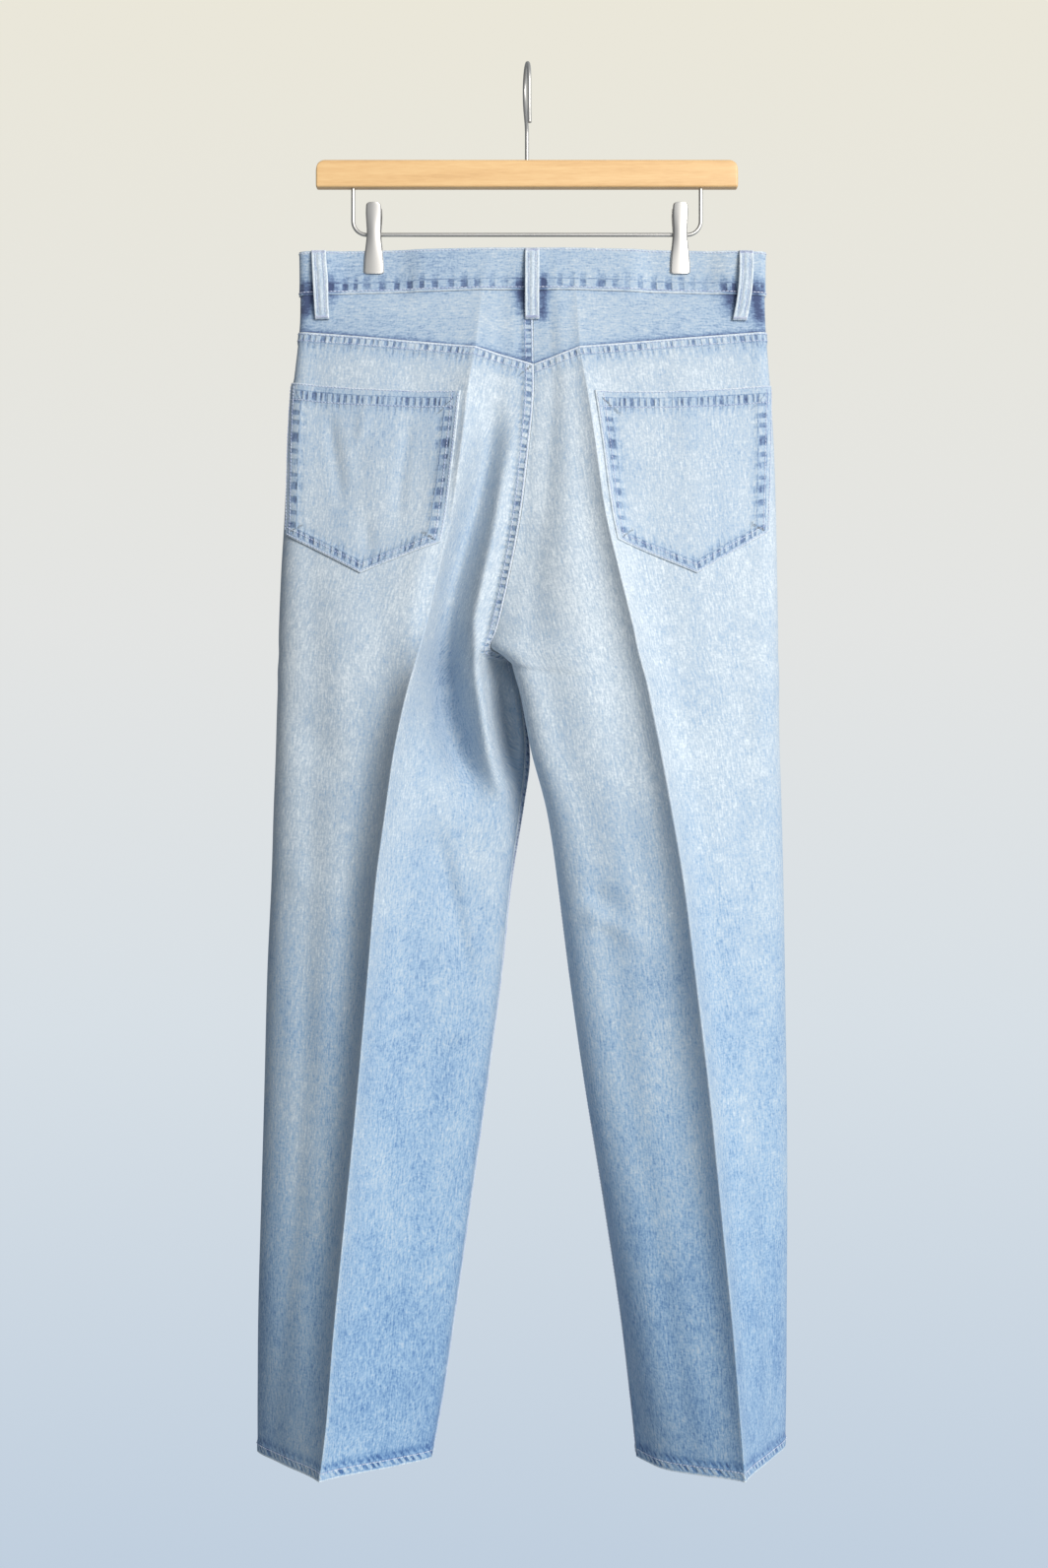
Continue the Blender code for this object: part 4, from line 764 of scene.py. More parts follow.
def denim(name):
    """Washed denim. Fade and painted shade are wash_and_shade + threads + clouds + puckers, then a
    ramp's colour.
    """
    made, tree, shader = new_finish(name, 0.92, Specular_IOR_Level=0.18, Sheen_Weight=0.18,
                                    Sheen_Roughness=0.55)
    cut = carried(tree, "cut").outputs["Vector"]
    noises = []
    fade_and_shade = carried(tree, "wash_and_shade").outputs["Fac"]
    for *texture, amount in (WARP, WEFT, CLOUDS, SPECKS):
        noises.append(cloth_noise(tree, cut, *texture))
        centred = maths(tree, "SUBTRACT", noises[-1], 0.5)
        fade_and_shade = maths(tree, "MULTIPLY_ADD", centred, amount, fade_and_shade)
    fade_and_shade, rung = puckers(tree, carried(tree, "ladder").outputs["Vector"], fade_and_shade)
    # the upper half has worn greyer than the shins
    place = node(tree, "ShaderNodeSeparateXYZ", i0=node(tree, "ShaderNodeTexCoord").outputs["Object"])
    strong = step(tree, place.outputs[2], -1.15, -0.30, 1.10, 0.80)
    dyed = node(tree, "ShaderNodeHueSaturation", Saturation=strong,
                Color=ramp(tree, fade_and_shade, INDIGO_STOPS))
    tree.links.new(dyed.outputs[0], shader.inputs["Base Color"])
    # relief: twill ribs, threads, and the puckers
    flat = node(tree, "ShaderNodeMapping", i0=cut, Rotation=(0, 0, TWILL_TURN))
    ribs = node(tree, "ShaderNodeTexWave", Vector=flat.outputs[0], Scale=330.0, Distortion=1.2,
                Detail=1.0)
    ribs = maths(tree, "MULTIPLY", ribs.outputs["Fac"], 0.25)
    height = maths(tree, "MULTIPLY_ADD", noises[0], 0.9, ribs)
    height = maths(tree, "MULTIPLY_ADD", noises[3], 0.5, height)
    fine = node(tree, "ShaderNodeBump", Strength=0.55, Distance=0.00035, Height=height)
    bump = node(tree, "ShaderNodeBump", Strength=0.9, Distance=-0.0007, Height=rung,
                Normal=fine.outputs[0])
    tree.links.new(bump.outputs[0], shader.inputs["Normal"])
    return made


DENIM = denim("washed_denim")
print("denim nodes:", len(DENIM.node_tree.nodes))


# %% Where the dye has faded
def panel_wash_and_shade(points, face):
    """Base fade, palest over the seat and thighs and bluer towards the hem and side seams, and painted
    shade in fold hollows.
    """
    x, z = points[..., 0], points[..., 2]
    wash_and_shade = 0.72 + 0.05 * bell(z + 430, 190) - 0.10 * smooth(-z, 560, 900) - 0.11 * smooth(-z, 860, 1210)
    # painted shade in the hollows of the folds, beyond the dye that such hollows keep
    fold_hollow_shade = np.clip(-fold_relief(face.name, x, z) / 45, 0, 1)
    thigh = bell(x + 195, 34) * smooth(-z, 420, 520)
    seat = bell(x - 66, 46) * bell(z + 430, 110)
    # round the inside of the left knee: darker dye, and painted shade of the soft hollow there
    knee = bell(x + 85, 40) * bell(z + 790, 150)
    streaks = 0.02 * np.sin(z / 47 + x / 60)
    return wash_and_shade + streaks + 0.07 * thigh + 0.08 * seat - 0.16 * fold_hollow_shade - 0.08 * knee


PITCH = 6.0         # length of one pucker in millimetres
FELL = 9.0          # width of a felled seam
EDGE_WORN = 1.3     # width of the pale worn edge
FAR = 99.0          # a distance at which no seam shows


def seam_ladder(distance, run, width=FELL, pitch=PITCH, skew=0.0, start=1.9):
    """Place in a seam. Across: 0.13 at the worn edge, 0.16 where the puckers start, 1 at its width,
    then one more for each FELL. Along: the run in puckers, slanted by skew."""
    distance, run = np.broadcast_arrays(distance, run)
    across = np.interp(distance, (0, EDGE_WORN, start, width), (0, 0.13, 0.16, 1))
    across = across + np.maximum(distance - width, 0) / FELL
    return np.stack([across, (run + skew * distance) / pitch], axis=-1)


def no_seam(grid):
    """The ladder of a piece with no seam on it."""
    return seam_ladder(np.full(grid.shape[:2], FAR), 0.0)


def nearest_seam(ladders):
    """Keeps, at each point, the seam that is nearest across."""
    stack = np.stack(ladders)
    pick = np.argmin(stack[..., 0], axis=0)
    return np.take_along_axis(stack, pick[None, ..., None], axis=0)[0]


print("fade tools ready")


# %% Distances along a piece
def edge_runs(grid):
    """Millimetres along the cloth from a grid's first row, last row, first column, last column."""
    down, side = np.zeros(grid.shape[:2]), np.zeros(grid.shape[:2])
    down[1:] = np.cumsum(np.linalg.norm(np.diff(grid, axis=0), axis=2), axis=0)
    side[:, 1:] = np.cumsum(np.linalg.norm(np.diff(grid, axis=1), axis=2), axis=1)
    return down, down[-1:] - down, side, side[:, -1:] - side


WALL = 1.2      # one layer of cloth, in millimetres
BOLT_STEP = 1.7 # metres between the places on the bolt where two pieces are cut
SURFACES = {}   # outer grid of each piece, and its outward directions


def sewn_piece(name, outer, inner, ladder, wash_and_shade, middle=None, surface=None,
               turned=False):
    """A cloth wall whose flat place is measured along the grid from its middle column.

    A turned piece is cut with its warp running across.
    """
    down, _, side, _ = edge_runs(outer)
    middle = outer.shape[1] // 2 if middle is None else middle
    across = side - side[:, middle:middle + 1]
    cut = np.stack([-down, across] if turned else [across, -down], axis=-1) * MM
    cut = cut + BOLT_STEP * (len(SURFACES) + 1)
    made = cloth_wall(name, outer, inner, cut, wash_and_shade, ladder)
    made.data.materials.append(surface or DENIM)
    SURFACES[name] = (outer, unit(outer - inner))
    cells = np.cross(np.diff(outer, axis=0)[:, 1:], np.diff(outer, axis=1)[1:])
    area = np.sum(np.linalg.norm(cells, axis=2))
    print(f"{name}: {2 * len(made.data.polygons)} triangles, {down.max():.0f} mm long, "
          f"{side.max():.0f} mm wide, {area * 1e-6:.4f} square metres")
    return made


# %% Wear
CREASE_WIDTH = 2.6      # half width of the worn line along a crease


def leg_wash_and_shade(face, level, position, base):
    """Panel fade and painted shade, paler on the crease and more so down the leg, and bluer beside both
    side seams.
    """
    reach_out, reach_in = face.length(level, -1), face.length(level, 1)
    distance = np.where(position < 0, -position * reach_out, position * reach_in)
    pale = (0.05 + 0.07 * smooth(-base[..., 2], 500, 1100)) * bell(distance, CREASE_WIDTH)
    outer, inner = (1 + position) * reach_out, (1 - position) * reach_in
    blue = 0.10 * np.exp(-outer / 16) + 0.10 * np.exp(-inner / 12) * (level > CROTCH)
    return panel_wash_and_shade(base, face) + pale - blue


def felled(distance, width=FELL, height=0.8):
    """Extra height of a lapped seam: height at the edge, gone just past the second row."""
    return height * (1 - smooth(distance, width, width + 2.5))


EDGE_ROWS = np.array([0.5, 1.2, 2.2, 4.5, 7.5, 9.0, 10.5])     # millimetres from an edge


def panel_rows(top, bottom, step_mm):
    """Levels from top to bottom about step_mm apart, with extra rows close to both edges."""
    number = np.arange(LEVELS)
    high, low = np.interp([top, bottom], number, OUTSEAM[:, 0])
    heights = np.linspace(high, low, int((high - low) / step_mm))
    even = np.interp(heights, OUTSEAM[::-1, 0], number[::-1])
    per_mm = 1 / np.interp([top, bottom], number[:-1] + 0.5, -np.diff(OUTSEAM[:, 0]))
    rows = np.concatenate([even, top + EDGE_ROWS * per_mm[0], bottom - EDGE_ROWS * per_mm[1]])
    return np.unique(np.round(np.clip(rows, top, bottom), 5))


print("wear ready")

# %% [markdown]
# ## Back panels
#
# Each back leg is one long piece of cloth from the yoke to the hem. Its top edge is folded
# under and laps over the yoke, with two rows of stitching, so a band there stands a little
# proud. The left panel also laps over the right one down the centre seam. At the hem the
# cloth is turned up twice, and a chain stitch pulls it into slanting ropes. The bands could
# be strips of their own, but raising the panel's own points leaves no joint to show.


# %% Hem
# the levels at which pieces begin and end, just clear of each other
BAND_END, YOKE_TOP, YOKE_END, PANEL_TOP, HEM_LEVEL = 0.996, 1.004, 1.997, 2.003, 20.0
HEM_BAND, HEM_PITCH, HEM_SLANT = 8.6, 7.6, 0.9
CENTRE_BAND, CENTRE_PITCH = 8.4, 6.6        # the felled centre seam
PUSH = 400                                  # moves a seam away from where it doesn't run


def hem_wear_and_shade(up):
    """The turned-up band has worn paler, and above it lies a line of painted shade."""
    return 0.14 * (1 - smooth(up, 8.0, 9.6)) - 0.12 * bell(up - 12.5, 3)


def hem_ladder(up, side, leg):
    """The chain stitch pulls the hem into ropes that slant one way on each leg."""
    return seam_ladder(up, side, HEM_BAND, HEM_PITCH, HEM_SLANT if leg == "left" else -HEM_SLANT)


def hem_lift(up):
    """The turned-up hem is thicker outside, height * (1 - smooth step)."""
    return 0.5 * (1 - smooth(up, 8.5, 10.5))


def leg_piece(name, face, level, position, lift, up, ladders, wash_and_shade, middle):
    """The wall of a leg panel, thicker inside along its turned-up hem."""
    outer = face.points(level, position, lift)
    inner = face.points(level, position, -WALL - 0.9 * (1 - smooth(up, 8, 10)))
    made = sewn_piece(f"{name}_cloth", outer, inner, nearest_seam(ladders), wash_and_shade, middle)
    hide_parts(name)


# %% Back panels
BACK_COLUMNS, BACK_CREASE_COLUMN = (48, 58), 47


def back_panel(leg):
    """The face from yoke seam to hem, with a raised band at the yoke and at the centre seam."""
    face = FACES[f"back_{leg}"]
    level, position = panel_rows(PANEL_TOP, HEM_LEVEL, 3.1)[:, None], positions(*BACK_COLUMNS)[None]
    base = face.points(level, position)
    down, up, side, inner_run = edge_runs(base)
    lift = felled(down) + hem_lift(up)
    ladders = [seam_ladder(down, side, pitch=6.2), hem_ladder(up, side, leg)]
    if leg == "left":
        flap = inner_run + PUSH * smooth(level, CROTCH - 0.3, CROTCH + 0.2)
        lift = np.maximum(lift, felled(flap, CENTRE_BAND, 0.9))
        ladders.append(seam_ladder(flap, down, CENTRE_BAND, CENTRE_PITCH))
    # below the raised yoke band lies a line of painted seam shade
    wash_and_shade = leg_wash_and_shade(face, level, position, base) + hem_wear_and_shade(up) - 0.08 * bell(down - 14, 6)
    leg_piece(f"back_{leg}", face, level, position, lift, up, ladders, wash_and_shade, BACK_CREASE_COLUMN)


for leg in LEGS:
    back_panel(leg)

# %% [markdown]
# ## Front panels
#
# A front leg runs from the waistband to the hem. A deep scoop is cut out of its upper outer
# corner for the pocket opening. The wearer's left front laps over the right below the fly,
# and the inseam is felled with its stitches on the front. The scoop could be cut out with a
# Boolean. Bending the first rows of the grid along it keeps a clean edge for the stitches.

# %% Front panels
WAIST_SEAM = -205.0
SCOOP_DEPTH, SCOOP_REACH, SCOOP_BAND = 72.0, 0.60, 8.4
INSEAM_BAND, FRONT_COLUMNS, FRONT_CREASE_COLUMN = 8.0, (46, 50), 45
SCOOP_LEVEL = 5     # below this level the rows run straight across


def scoop(face, position, below):
    """Pocket edge at each position: depth * sqrt(1 - s^2.4), with s from 0 at the outseam to 1."""
    across = np.clip((np.asarray(position) + 1) / SCOOP_REACH, 0, 1)
    drop = SCOOP_DEPTH * np.sqrt(np.clip(1 - across ** 2.4, 0, 1))
    return face.level_at(WAIST_SEAM - drop - below)


def front_panel(leg):
    """The face from the waist seam to the hem, its first rows bent down along the scoop."""
    face = FACES[f"front_{leg}"]
    rows, position = panel_rows(YOKE_TOP, HEM_LEVEL, 3.4)[:, None], positions(*FRONT_COLUMNS)[None]
    top = np.maximum(scoop(face, position, 0.0), YOKE_TOP)
    bent = top + (SCOOP_LEVEL - top) * (rows - YOKE_TOP) / (SCOOP_LEVEL - YOKE_TOP)
    level = np.where(rows < SCOOP_LEVEL, bent, rows)
    position = position + 0 * level
    base = face.points(level, position)
    down, up, side, inner_run = edge_runs(base)
    scooped = down + PUSH * smooth(position, -0.44, -0.36)
    inseam = inner_run + PUSH * (1 - smooth(level, CROTCH - 0.1, CROTCH + 0.1))
    ladders = [seam_ladder(scooped, side, SCOOP_BAND, 7.0),
               seam_ladder(inseam, down, INSEAM_BAND, 7.4), hem_ladder(up, side, leg)]
    lift = hem_lift(up) + felled(scooped, SCOOP_BAND, 0.4) + felled(inseam, INSEAM_BAND, 0.5)
    if leg == "left":
        flap = (inner_run + PUSH * smooth(level, CROTCH - 0.3, CROTCH)
                + PUSH * (1 - smooth(level, 5.0, 5.2)))
        ladders.append(seam_ladder(flap, down, CENTRE_BAND, CENTRE_PITCH))
        lift = np.maximum(lift, felled(flap, CENTRE_BAND, 0.8))
    wash_and_shade = leg_wash_and_shade(face, level, position, base) + hem_wear_and_shade(up)
    leg_piece(f"front_{leg}", face, level, position, lift, up, ladders, wash_and_shade, FRONT_CREASE_COLUMN)


for leg in LEGS:
    front_panel(leg)


# %% Pocket facings in the scoops, and the coin pocket on the right one
def front_pocket(leg):
    """Unfaded cloth that shows in the opening, tucked in under the panel's curved edge."""
    face = FACES[f"front_{leg}"]
    position = np.linspace(-1, -0.36, 60)[None]
    top, bottom = face.level_at(WAIST_SEAM - 0.2), scoop(face, position, 7.0)
    level = top + (bottom - top) * np.linspace(0, 1, 34)[:, None]
    tucked = -1.5 + 0 * level
    outer, inner = face.points(level, position, tucked), face.points(level, position, tucked - WALL)
    wash_and_shade = 0.36 + 0.05 * np.sin(outer[..., 0] / 9)
    made = sewn_piece(f"front_pocket_{leg}_cloth", outer, inner, no_seam(outer), wash_and_shade)
    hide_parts(f"front_pocket_{leg}")


def coin_pocket():
    """A small pocket whose top edge shows inside the right-hand opening."""
    face = FACES["front_right"]
    position = np.linspace(-0.86, -0.60, 40)[None]
    top, bottom = face.level_at(-216.0), scoop(face, position, -1.0)
    level = top + (bottom - top) * np.linspace(0, 1, 30)[:, None]
    outer = face.points(level, position, 0 * level - 0.2)
    inner = face.points(level, position, 0 * level - 1.3)
    down, _, side, rest = edge_runs(outer)
    ladder = nearest_seam([seam_ladder(down, side, 6.0, 6.0), seam_ladder(side, down, 6.0, 7.0),
                           seam_ladder(rest, down, 6.0, 7.0)])
    made = sewn_piece("coin_pocket_cloth", outer, inner, ladder, 0.58 + 0 * level)
    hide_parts("coin_pocket")


for leg in LEGS:
    front_pocket(leg)
coin_pocket()

# %% [markdown]
# ## Yokes and waistband
#
# The yoke is the shaped strip that gives the seat its curve. The waistband is a long strip
# folded in half and sewn over the top edge, so it is the thickest cloth on the garment. Its
# lower edge has worn white, and dark spots of dye are left where the seam inside is bulky.
# Both are cut with the warp across, so their threads run sideways. The band is one strip
# round all four faces, because a strip has only its two real ends.

# %% Painted shade beside the belt loops, as dark patches
# x, height, half width, half height, strength
LOOP_SHADE_PATCHES = ((-193, -205, 7, 12, 0.34), (-172, -200, 6, 12, 0.20), (-196, -218, 6, 7, 0.20),
           (-5, -204, 6, 14, 0.30), (14, -203, 5, 14, 0.30), (14, -222, 5, 8, 0.20),
           (202, -204, 5, 14, 0.34), (205, -222, 5, 8, 0.26), (180, -207, 7, 12, 0.28),
           (-86, -208, 7, 12, 0.25), (-66, -208, 7, 12, 0.25), (76, -208, 7, 12, 0.25),
           (96, -208, 7, 12, 0.25))
BACK_LOOP_SHADE_COUNT = 9        # the first rows lie on the back, the rest on the front
LOOP_SHADE_STRENGTH = 2.0


def loop_shade_patches(points, back):
    """Painted loop shade: a sum of soft ovals, each strength * exp(-(dx / w)^2 - (dz / h)^2)."""
    loop_shade = np.zeros(points.shape[:2])
    for index, (x, z, wide, high, strength) in enumerate(LOOP_SHADE_PATCHES):
        if (index < BACK_LOOP_SHADE_COUNT) == back:
            spot = bell(points[..., 0] - x, wide) * bell(points[..., 2] - z, high)
            loop_shade += LOOP_SHADE_STRENGTH * strength * spot
    return loop_shade


# %% Yokes
def yoke(leg):
    """The strip between the waist seam and the yoke seam."""
    face = FACES[f"back_{leg}"]
    level, position = panel_rows(YOKE_TOP, YOKE_END, 2.6)[:, None], positions(*BACK_COLUMNS)[None]
    base = face.points(level, position)
    down, up, _, inner_run = edge_runs(base)
    lift, ladder = 0 * down, no_seam(base)
    if leg == "left":
        lift = felled(inner_run, CENTRE_BAND, 0.9)
        ladder = seam_ladder(inner_run, down, CENTRE_BAND, CENTRE_PITCH)
    # the yoke keeps a little more dye all over; the darker lines under the waistband and at the lapped
    # seam are painted shade with some kept dye
    kept_dye_and_seam_shade = 0.10 + 0.12 * bell(down, 3) + 0.30 * bell(up, 2.2) + 0.12 * np.exp(-up / 9)
    wash_and_shade = leg_wash_and_shade(face, level, position, base) - kept_dye_and_seam_shade - loop_shade_patches(base, True)
    outer, inner = face.points(level, position, lift), face.points(level, position, 0 * lift - WALL)
    made = sewn_piece(f"yoke_{leg}_cloth", outer, inner, ladder, wash_and_shade, BACK_CREASE_COLUMN, turned=True)
    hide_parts(f"yoke_{leg}")


for leg in LEGS:
    yoke(leg)

# %% Waistband
BAND_LIFT, BAND_WALL = 0.9, 2.6
BAND_LAP, LAP_LIFT = 22.0, 3.4      # length of the lap, and how far its end stands over the band


def waistband():
    """One strip round all four faces. Its left end passes over the right end at the centre front."""
    rows = np.unique(np.concatenate([np.linspace(0, BAND_END, 17), [0.02, 0.05, 0.95, 0.975]]))
    rows, run = rows[:, None], positions(54, 46)
    lap_start = 1 - BAND_LAP / FACES["front_right"].length(0.5, 1)
    runs = (("front_right", np.linspace(lap_start, 0.97, 12), LAP_LIFT),
            ("front_left", np.array([0.98, 0.955]), LAP_LIFT),
            ("front_left", run[-4:0:-1], 0.0), ("back_left", run[:-1], 0.0),
            ("back_right", run[-2::-1], 0.0), ("front_right", run[1:], 0.0))
    outer, inner = [], []
    for name, where, extra in runs:
        flat = rows + 0 * where[None]
        soft = -0.35 * np.sin(math.pi * flat) ** 0.5
        outer.append(FACES[name].points(flat, where[None], BAND_LIFT + extra + soft + 0.35))
        inner.append(FACES[name].points(flat, where[None], BAND_LIFT + extra - BAND_WALL + 0 * flat))
    outer, inner = np.concatenate(outer, axis=1), np.concatenate(inner, axis=1)
    down, up, side, _ = edge_runs(outer)
    ladder = seam_ladder(up, side, 11.0, 12.0)
    # painted shade of the belt loops on the band, on the back and on the front
    loop_shade = np.where(outer[..., 1] < 0, loop_shade_patches(outer, True), loop_shade_patches(outer, False))
    wash_and_shade = 0.60 + 0.05 * np.sin(side / 71) + 0.16 * bell(down, 2.0) - loop_shade
    made = sewn_piece("waistband_cloth", outer, inner, ladder, wash_and_shade, turned=True)
    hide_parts("waistband")


waistband()

# %% [markdown]
# ## Patch pockets and belt loops
#
# A back pocket is a five-sided patch with a hemmed mouth and its raw edges turned under. Two
# rows of stitches hold it. Under them the cloth is four layers thick, so the border stands
# up. Belt loops are strips folded in three, and tacked down hard at both ends. A pocket is a
# grid between its mouth and its two bottom edges, so a column always ends on the tip.

# %% Back pockets
# position and height of the outer top, inner top, inner bottom, tip and outer bottom
POCKETS = {
    "left": ((-0.972, -281), (-0.035, -293), (-0.03, -425), (-0.41, -452), (-0.88, -415)),
    "right": ((-0.955, -284), (-0.035, -293), (-0.03, -424), (-0.41, -452), (-0.84, -413)),
}
POCKET_BORDER, MOUTH_HEM, LOW_BORDER = 14.0, 15.5, 10.5
POCKET_LIFT, POCKET_BACK = 1.6, 0.25        # outer and inner face above the panel
MOUTH_SAG = 2.5


def back_pocket(leg):
    """Columns run from the mouth to a bottom edge of two straight lines that meet at the tip."""
    face = FACES[f"back_{leg}"]
    outer_top, inner_top, inner_bottom, tip, outer_bottom = np.array(POCKETS[leg])
    split = (tip[0] - outer_bottom[0]) / (inner_bottom[0] - outer_bottom[0])
    u = np.sort(np.append(crowded(72, 0.7), split))[:, None]
    v = crowded(84, 0.6)[:, None]
    top = outer_top + (inner_top - outer_top) * u
    top[:, 1] -= MOUTH_SAG * np.sin(math.pi * u[:, 0])
    low = outer_bottom + (tip - outer_bottom) * u / split
    rest = tip + (inner_bottom - tip) * (u - split) / (1 - split)
    bottom = np.where(u < split, low, rest)
    position = top[:, 0] + (bottom[:, 0] - top[:, 0]) * v
    level = face.level_at(top[:, 1] + (bottom[:, 1] - top[:, 1]) * v)
    base = face.points(level, position)
    down, up, side, other = edge_runs(base)
    ladder = nearest_seam([seam_ladder(down, side, MOUTH_HEM, 5.6, start=6.5),
                           seam_ladder(up, side, LOW_BORDER, 6.6, start=3.0),
                           seam_ladder(side, down, POCKET_BORDER, 11.0, start=5.0),
                           seam_ladder(other, down, POCKET_BORDER, 11.0, start=5.0)])
    across = ladder[..., 0]
    lift = POCKET_LIFT + 0.6 * (1 - smooth(across, 1.0, 1.25)) - 0.3 * bell(across, 0.05)
    # the pocket keeps a little more dye; the darkening towards its stitched border is painted seam
    # shade
    wash_and_shade = panel_wash_and_shade(base, face) - 0.07 - 0.06 * (1 - smooth(across, 0.3, 2.6))
    outer = face.points(level, position, lift)
    inner = face.points(level, position, 0 * lift + POCKET_BACK)
    made = sewn_piece(f"back_pocket_{leg}_cloth", outer, inner, ladder, wash_and_shade)
    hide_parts(f"back_pocket_{leg}")


for leg in LEGS:
    back_pocket(leg)

# %% Belt loops
LOOP_WIDTH, LOOP_WALL, LOOP_BOW = 12.5, 2.0, 3.2
LOOP_COLUMNS, LOOP_SPLIT = 15, 8        # a loop over the centre seam lies on both faces
# faces, x at the top and at the bottom, heights of the top and the bottom, where the bend comes
LOOPS = {
    "belt_loop_back_left": (("back_left",), -183.5, -179.5, -163.5, -226, 1.0),
    "belt_loop_back_centre": (("back_left", "back_right"), 4.6, 4.6, -163.0, -227, 1.0),
    "belt_loop_back_right": (("back_right",), 193.0, 186.5, -164.0, -227, 2.4),
    "belt_loop_front_left": (("front_left",), -76.0, -76.0, -163.0, -226, 1.0),
    "belt_loop_front_right": (("front_right",), 86.0, 86.0, -163.0, -226, 1.0),
}


def loop_layer(faces, x, z, lift):
    """Points of one layer of a loop, found on each face that it crosses and moved out by lift."""
    parts = []
    for face in faces:
        start, keep = (-0.8 if "back" in face else 0.0), slice(None)
        if len(faces) == 2:
            start = 0.95
            keep = slice(0, LOOP_SPLIT) if face == faces[0] else slice(LOOP_SPLIT, LOOP_COLUMNS)
        level, position = FACES[face].locate(x[:, keep], z[:, keep], start)
        parts.append(FACES[face].points(level, position, lift[:, keep]))
    return np.concatenate(parts, axis=1)


def belt_loop(name, faces, x_top, x_bottom, z_top, z_bottom, bend):
    """A strip that lies on the waistband at both ends and bows out by sin(pi t)^0.8 between them."""
    t = np.linspace(0, 1, 46)[:, None]
    across = np.linspace(-0.5, 0.5, LOOP_COLUMNS)[None]
    centre = x_top + (x_bottom - x_top) * t ** bend
    x, z = centre + LOOP_WIDTH * across, z_top + (z_bottom - z_top) * t + 0 * across
    ends = np.maximum(bell(t, 0.05), bell(t - 1, 0.05))
    bow = LOOP_BOW * np.sin(math.pi * t) ** 0.8 + 0 * across
    rolled = 0.45 * np.cos(4 * math.pi * across) * (1 - ends) - 0.5 * (np.abs(across) > 0.47)
    outer = loop_layer(faces, x, z, BAND_LIFT + 0.6 + bow + LOOP_WALL + rolled)
    inner = loop_layer(faces, x, z, BAND_LIFT + 0.3 + bow)
    _, _, side, other = edge_runs(outer)
    edge = np.minimum(side, other)
    # paler at the worn edges and the top fold; the dark line along each stitch row is painted shade
    wash_and_shade = 0.78 + 0.22 * bell(edge, 1.4) + 0.16 * bell(t - 0.02, 0.03) - 0.16 * bell(edge - 3.4, 0.8)
    made = sewn_piece(name + "_cloth", outer, inner, no_seam(outer), wash_and_shade)
    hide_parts(name)


for name, values in LOOPS.items():
    belt_loop(name, *values)

# %% [markdown]
# ## Fly and button
#
# The fly is at the front, away from the camera. It is a curved flap on the left front that
# laps over the right, and a metal button closes the waistband above it. The flap crosses a
# seam, so its columns are taken from both faces and joined into one wall.

# %% Fly
FLY_LENGTH, FLY_WIDTH, FLY_LAP = 165.0, 38.0, 7.0


def fly():
    """A flap that narrows over its last quarter as a quarter ellipse."""
    t = np.linspace(0, 1, 60)[:, None]
    left, right = FACES["front_left"], FACES["front_right"]
    level = left.level_at(WAIST_SEAM - FLY_LENGTH * t)
    narrow = np.sqrt(np.clip(1 - np.clip((t - 0.72) / 0.28, 0, 1) ** 2, 0.012, 1))
    walls = [[], []]
    for face, reach in ((left, np.linspace(FLY_WIDTH, 2.0, 22)), (right, np.linspace(1.0, FLY_LAP, 6))):
        position = 1 - reach[None] * narrow / face.length(level, 1)
        for wall, lift in zip(walls, (1.6, 0.5)):
            wall.append(face.points(level, position, lift + 0 * position))
    outer, inner = (np.concatenate(wall, axis=1) for wall in walls)
    down, _, side, other = edge_runs(outer)
    ladder = nearest_seam([seam_ladder(side, down, 8.0, 8.0), seam_ladder(other + 3, down, 6.0, 7.0)])
    made = sewn_piece("fly_cloth", outer, inner, ladder, 0.62 + 0 * side)
    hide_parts("fly")


fly()

# %% [markdown]
# ## Stitches
#
# A lockstitch is a row of short thread arches that dive into the cloth. Each one here is a
# small six-sided capsule whose middle line is a parabola. Every row is one array of capsules,
# laid along a line at a set distance from an edge of a piece. Bump alone would do from afar,
# but it leaves a flat outline on the folded edges.

# %% Thread
THREAD, thread_tree, thread_shader = new_finish("pale_thread", 0.75)
thread_place = node(thread_tree, "ShaderNodeTexCoord").outputs["Object"]
thread_tint = node(thread_tree, "ShaderNodeTexNoise", Vector=thread_place, Scale=90.0)
THREAD_STOPS = ((0.35, (0.42, 0.47, 0.66)), (0.65, (0.70, 0.73, 0.82)))
thread_tree.links.new(ramp(thread_tree, thread_tint.outputs["Fac"], THREAD_STOPS),
                      thread_shader.inputs["Base Color"])

# one stitch: rings along its length and their radii, with six sides
RING_AT = np.array([-0.5, -0.4, -0.15, 0.15, 0.4, 0.5])
RING_RADIUS = np.array([0.35, 0.85, 1.0, 1.0, 0.85, 0.35])
SIDES = 6


# %% Lines and rings
def along_line(line):
    """Distance along a line at each of its points."""
    return np.concatenate([[0], np.cumsum(np.linalg.norm(np.diff(line, axis=0), axis=1))])


def between(at, run, values):
    """Straight interpolation of each column of values, given along run, at the places at."""
    return np.stack([np.interp(at, run, values[:, k]) for k in range(values.shape[1])], axis=1)


def circle(count):
    """Angles at even steps round a circle."""
    return np.arange(count) * 2 * math.pi / count


def ring_sides(count, around):
    """Numbers of the points in rings, and the faces between each ring and the next."""
    index = np.arange(count * around).reshape(count, around)
    after = np.roll(index, -1, axis=1)
    return index, np.stack([index[:-1], after[:-1], after[1:], index[1:]], axis=-1).reshape(-1, 4)


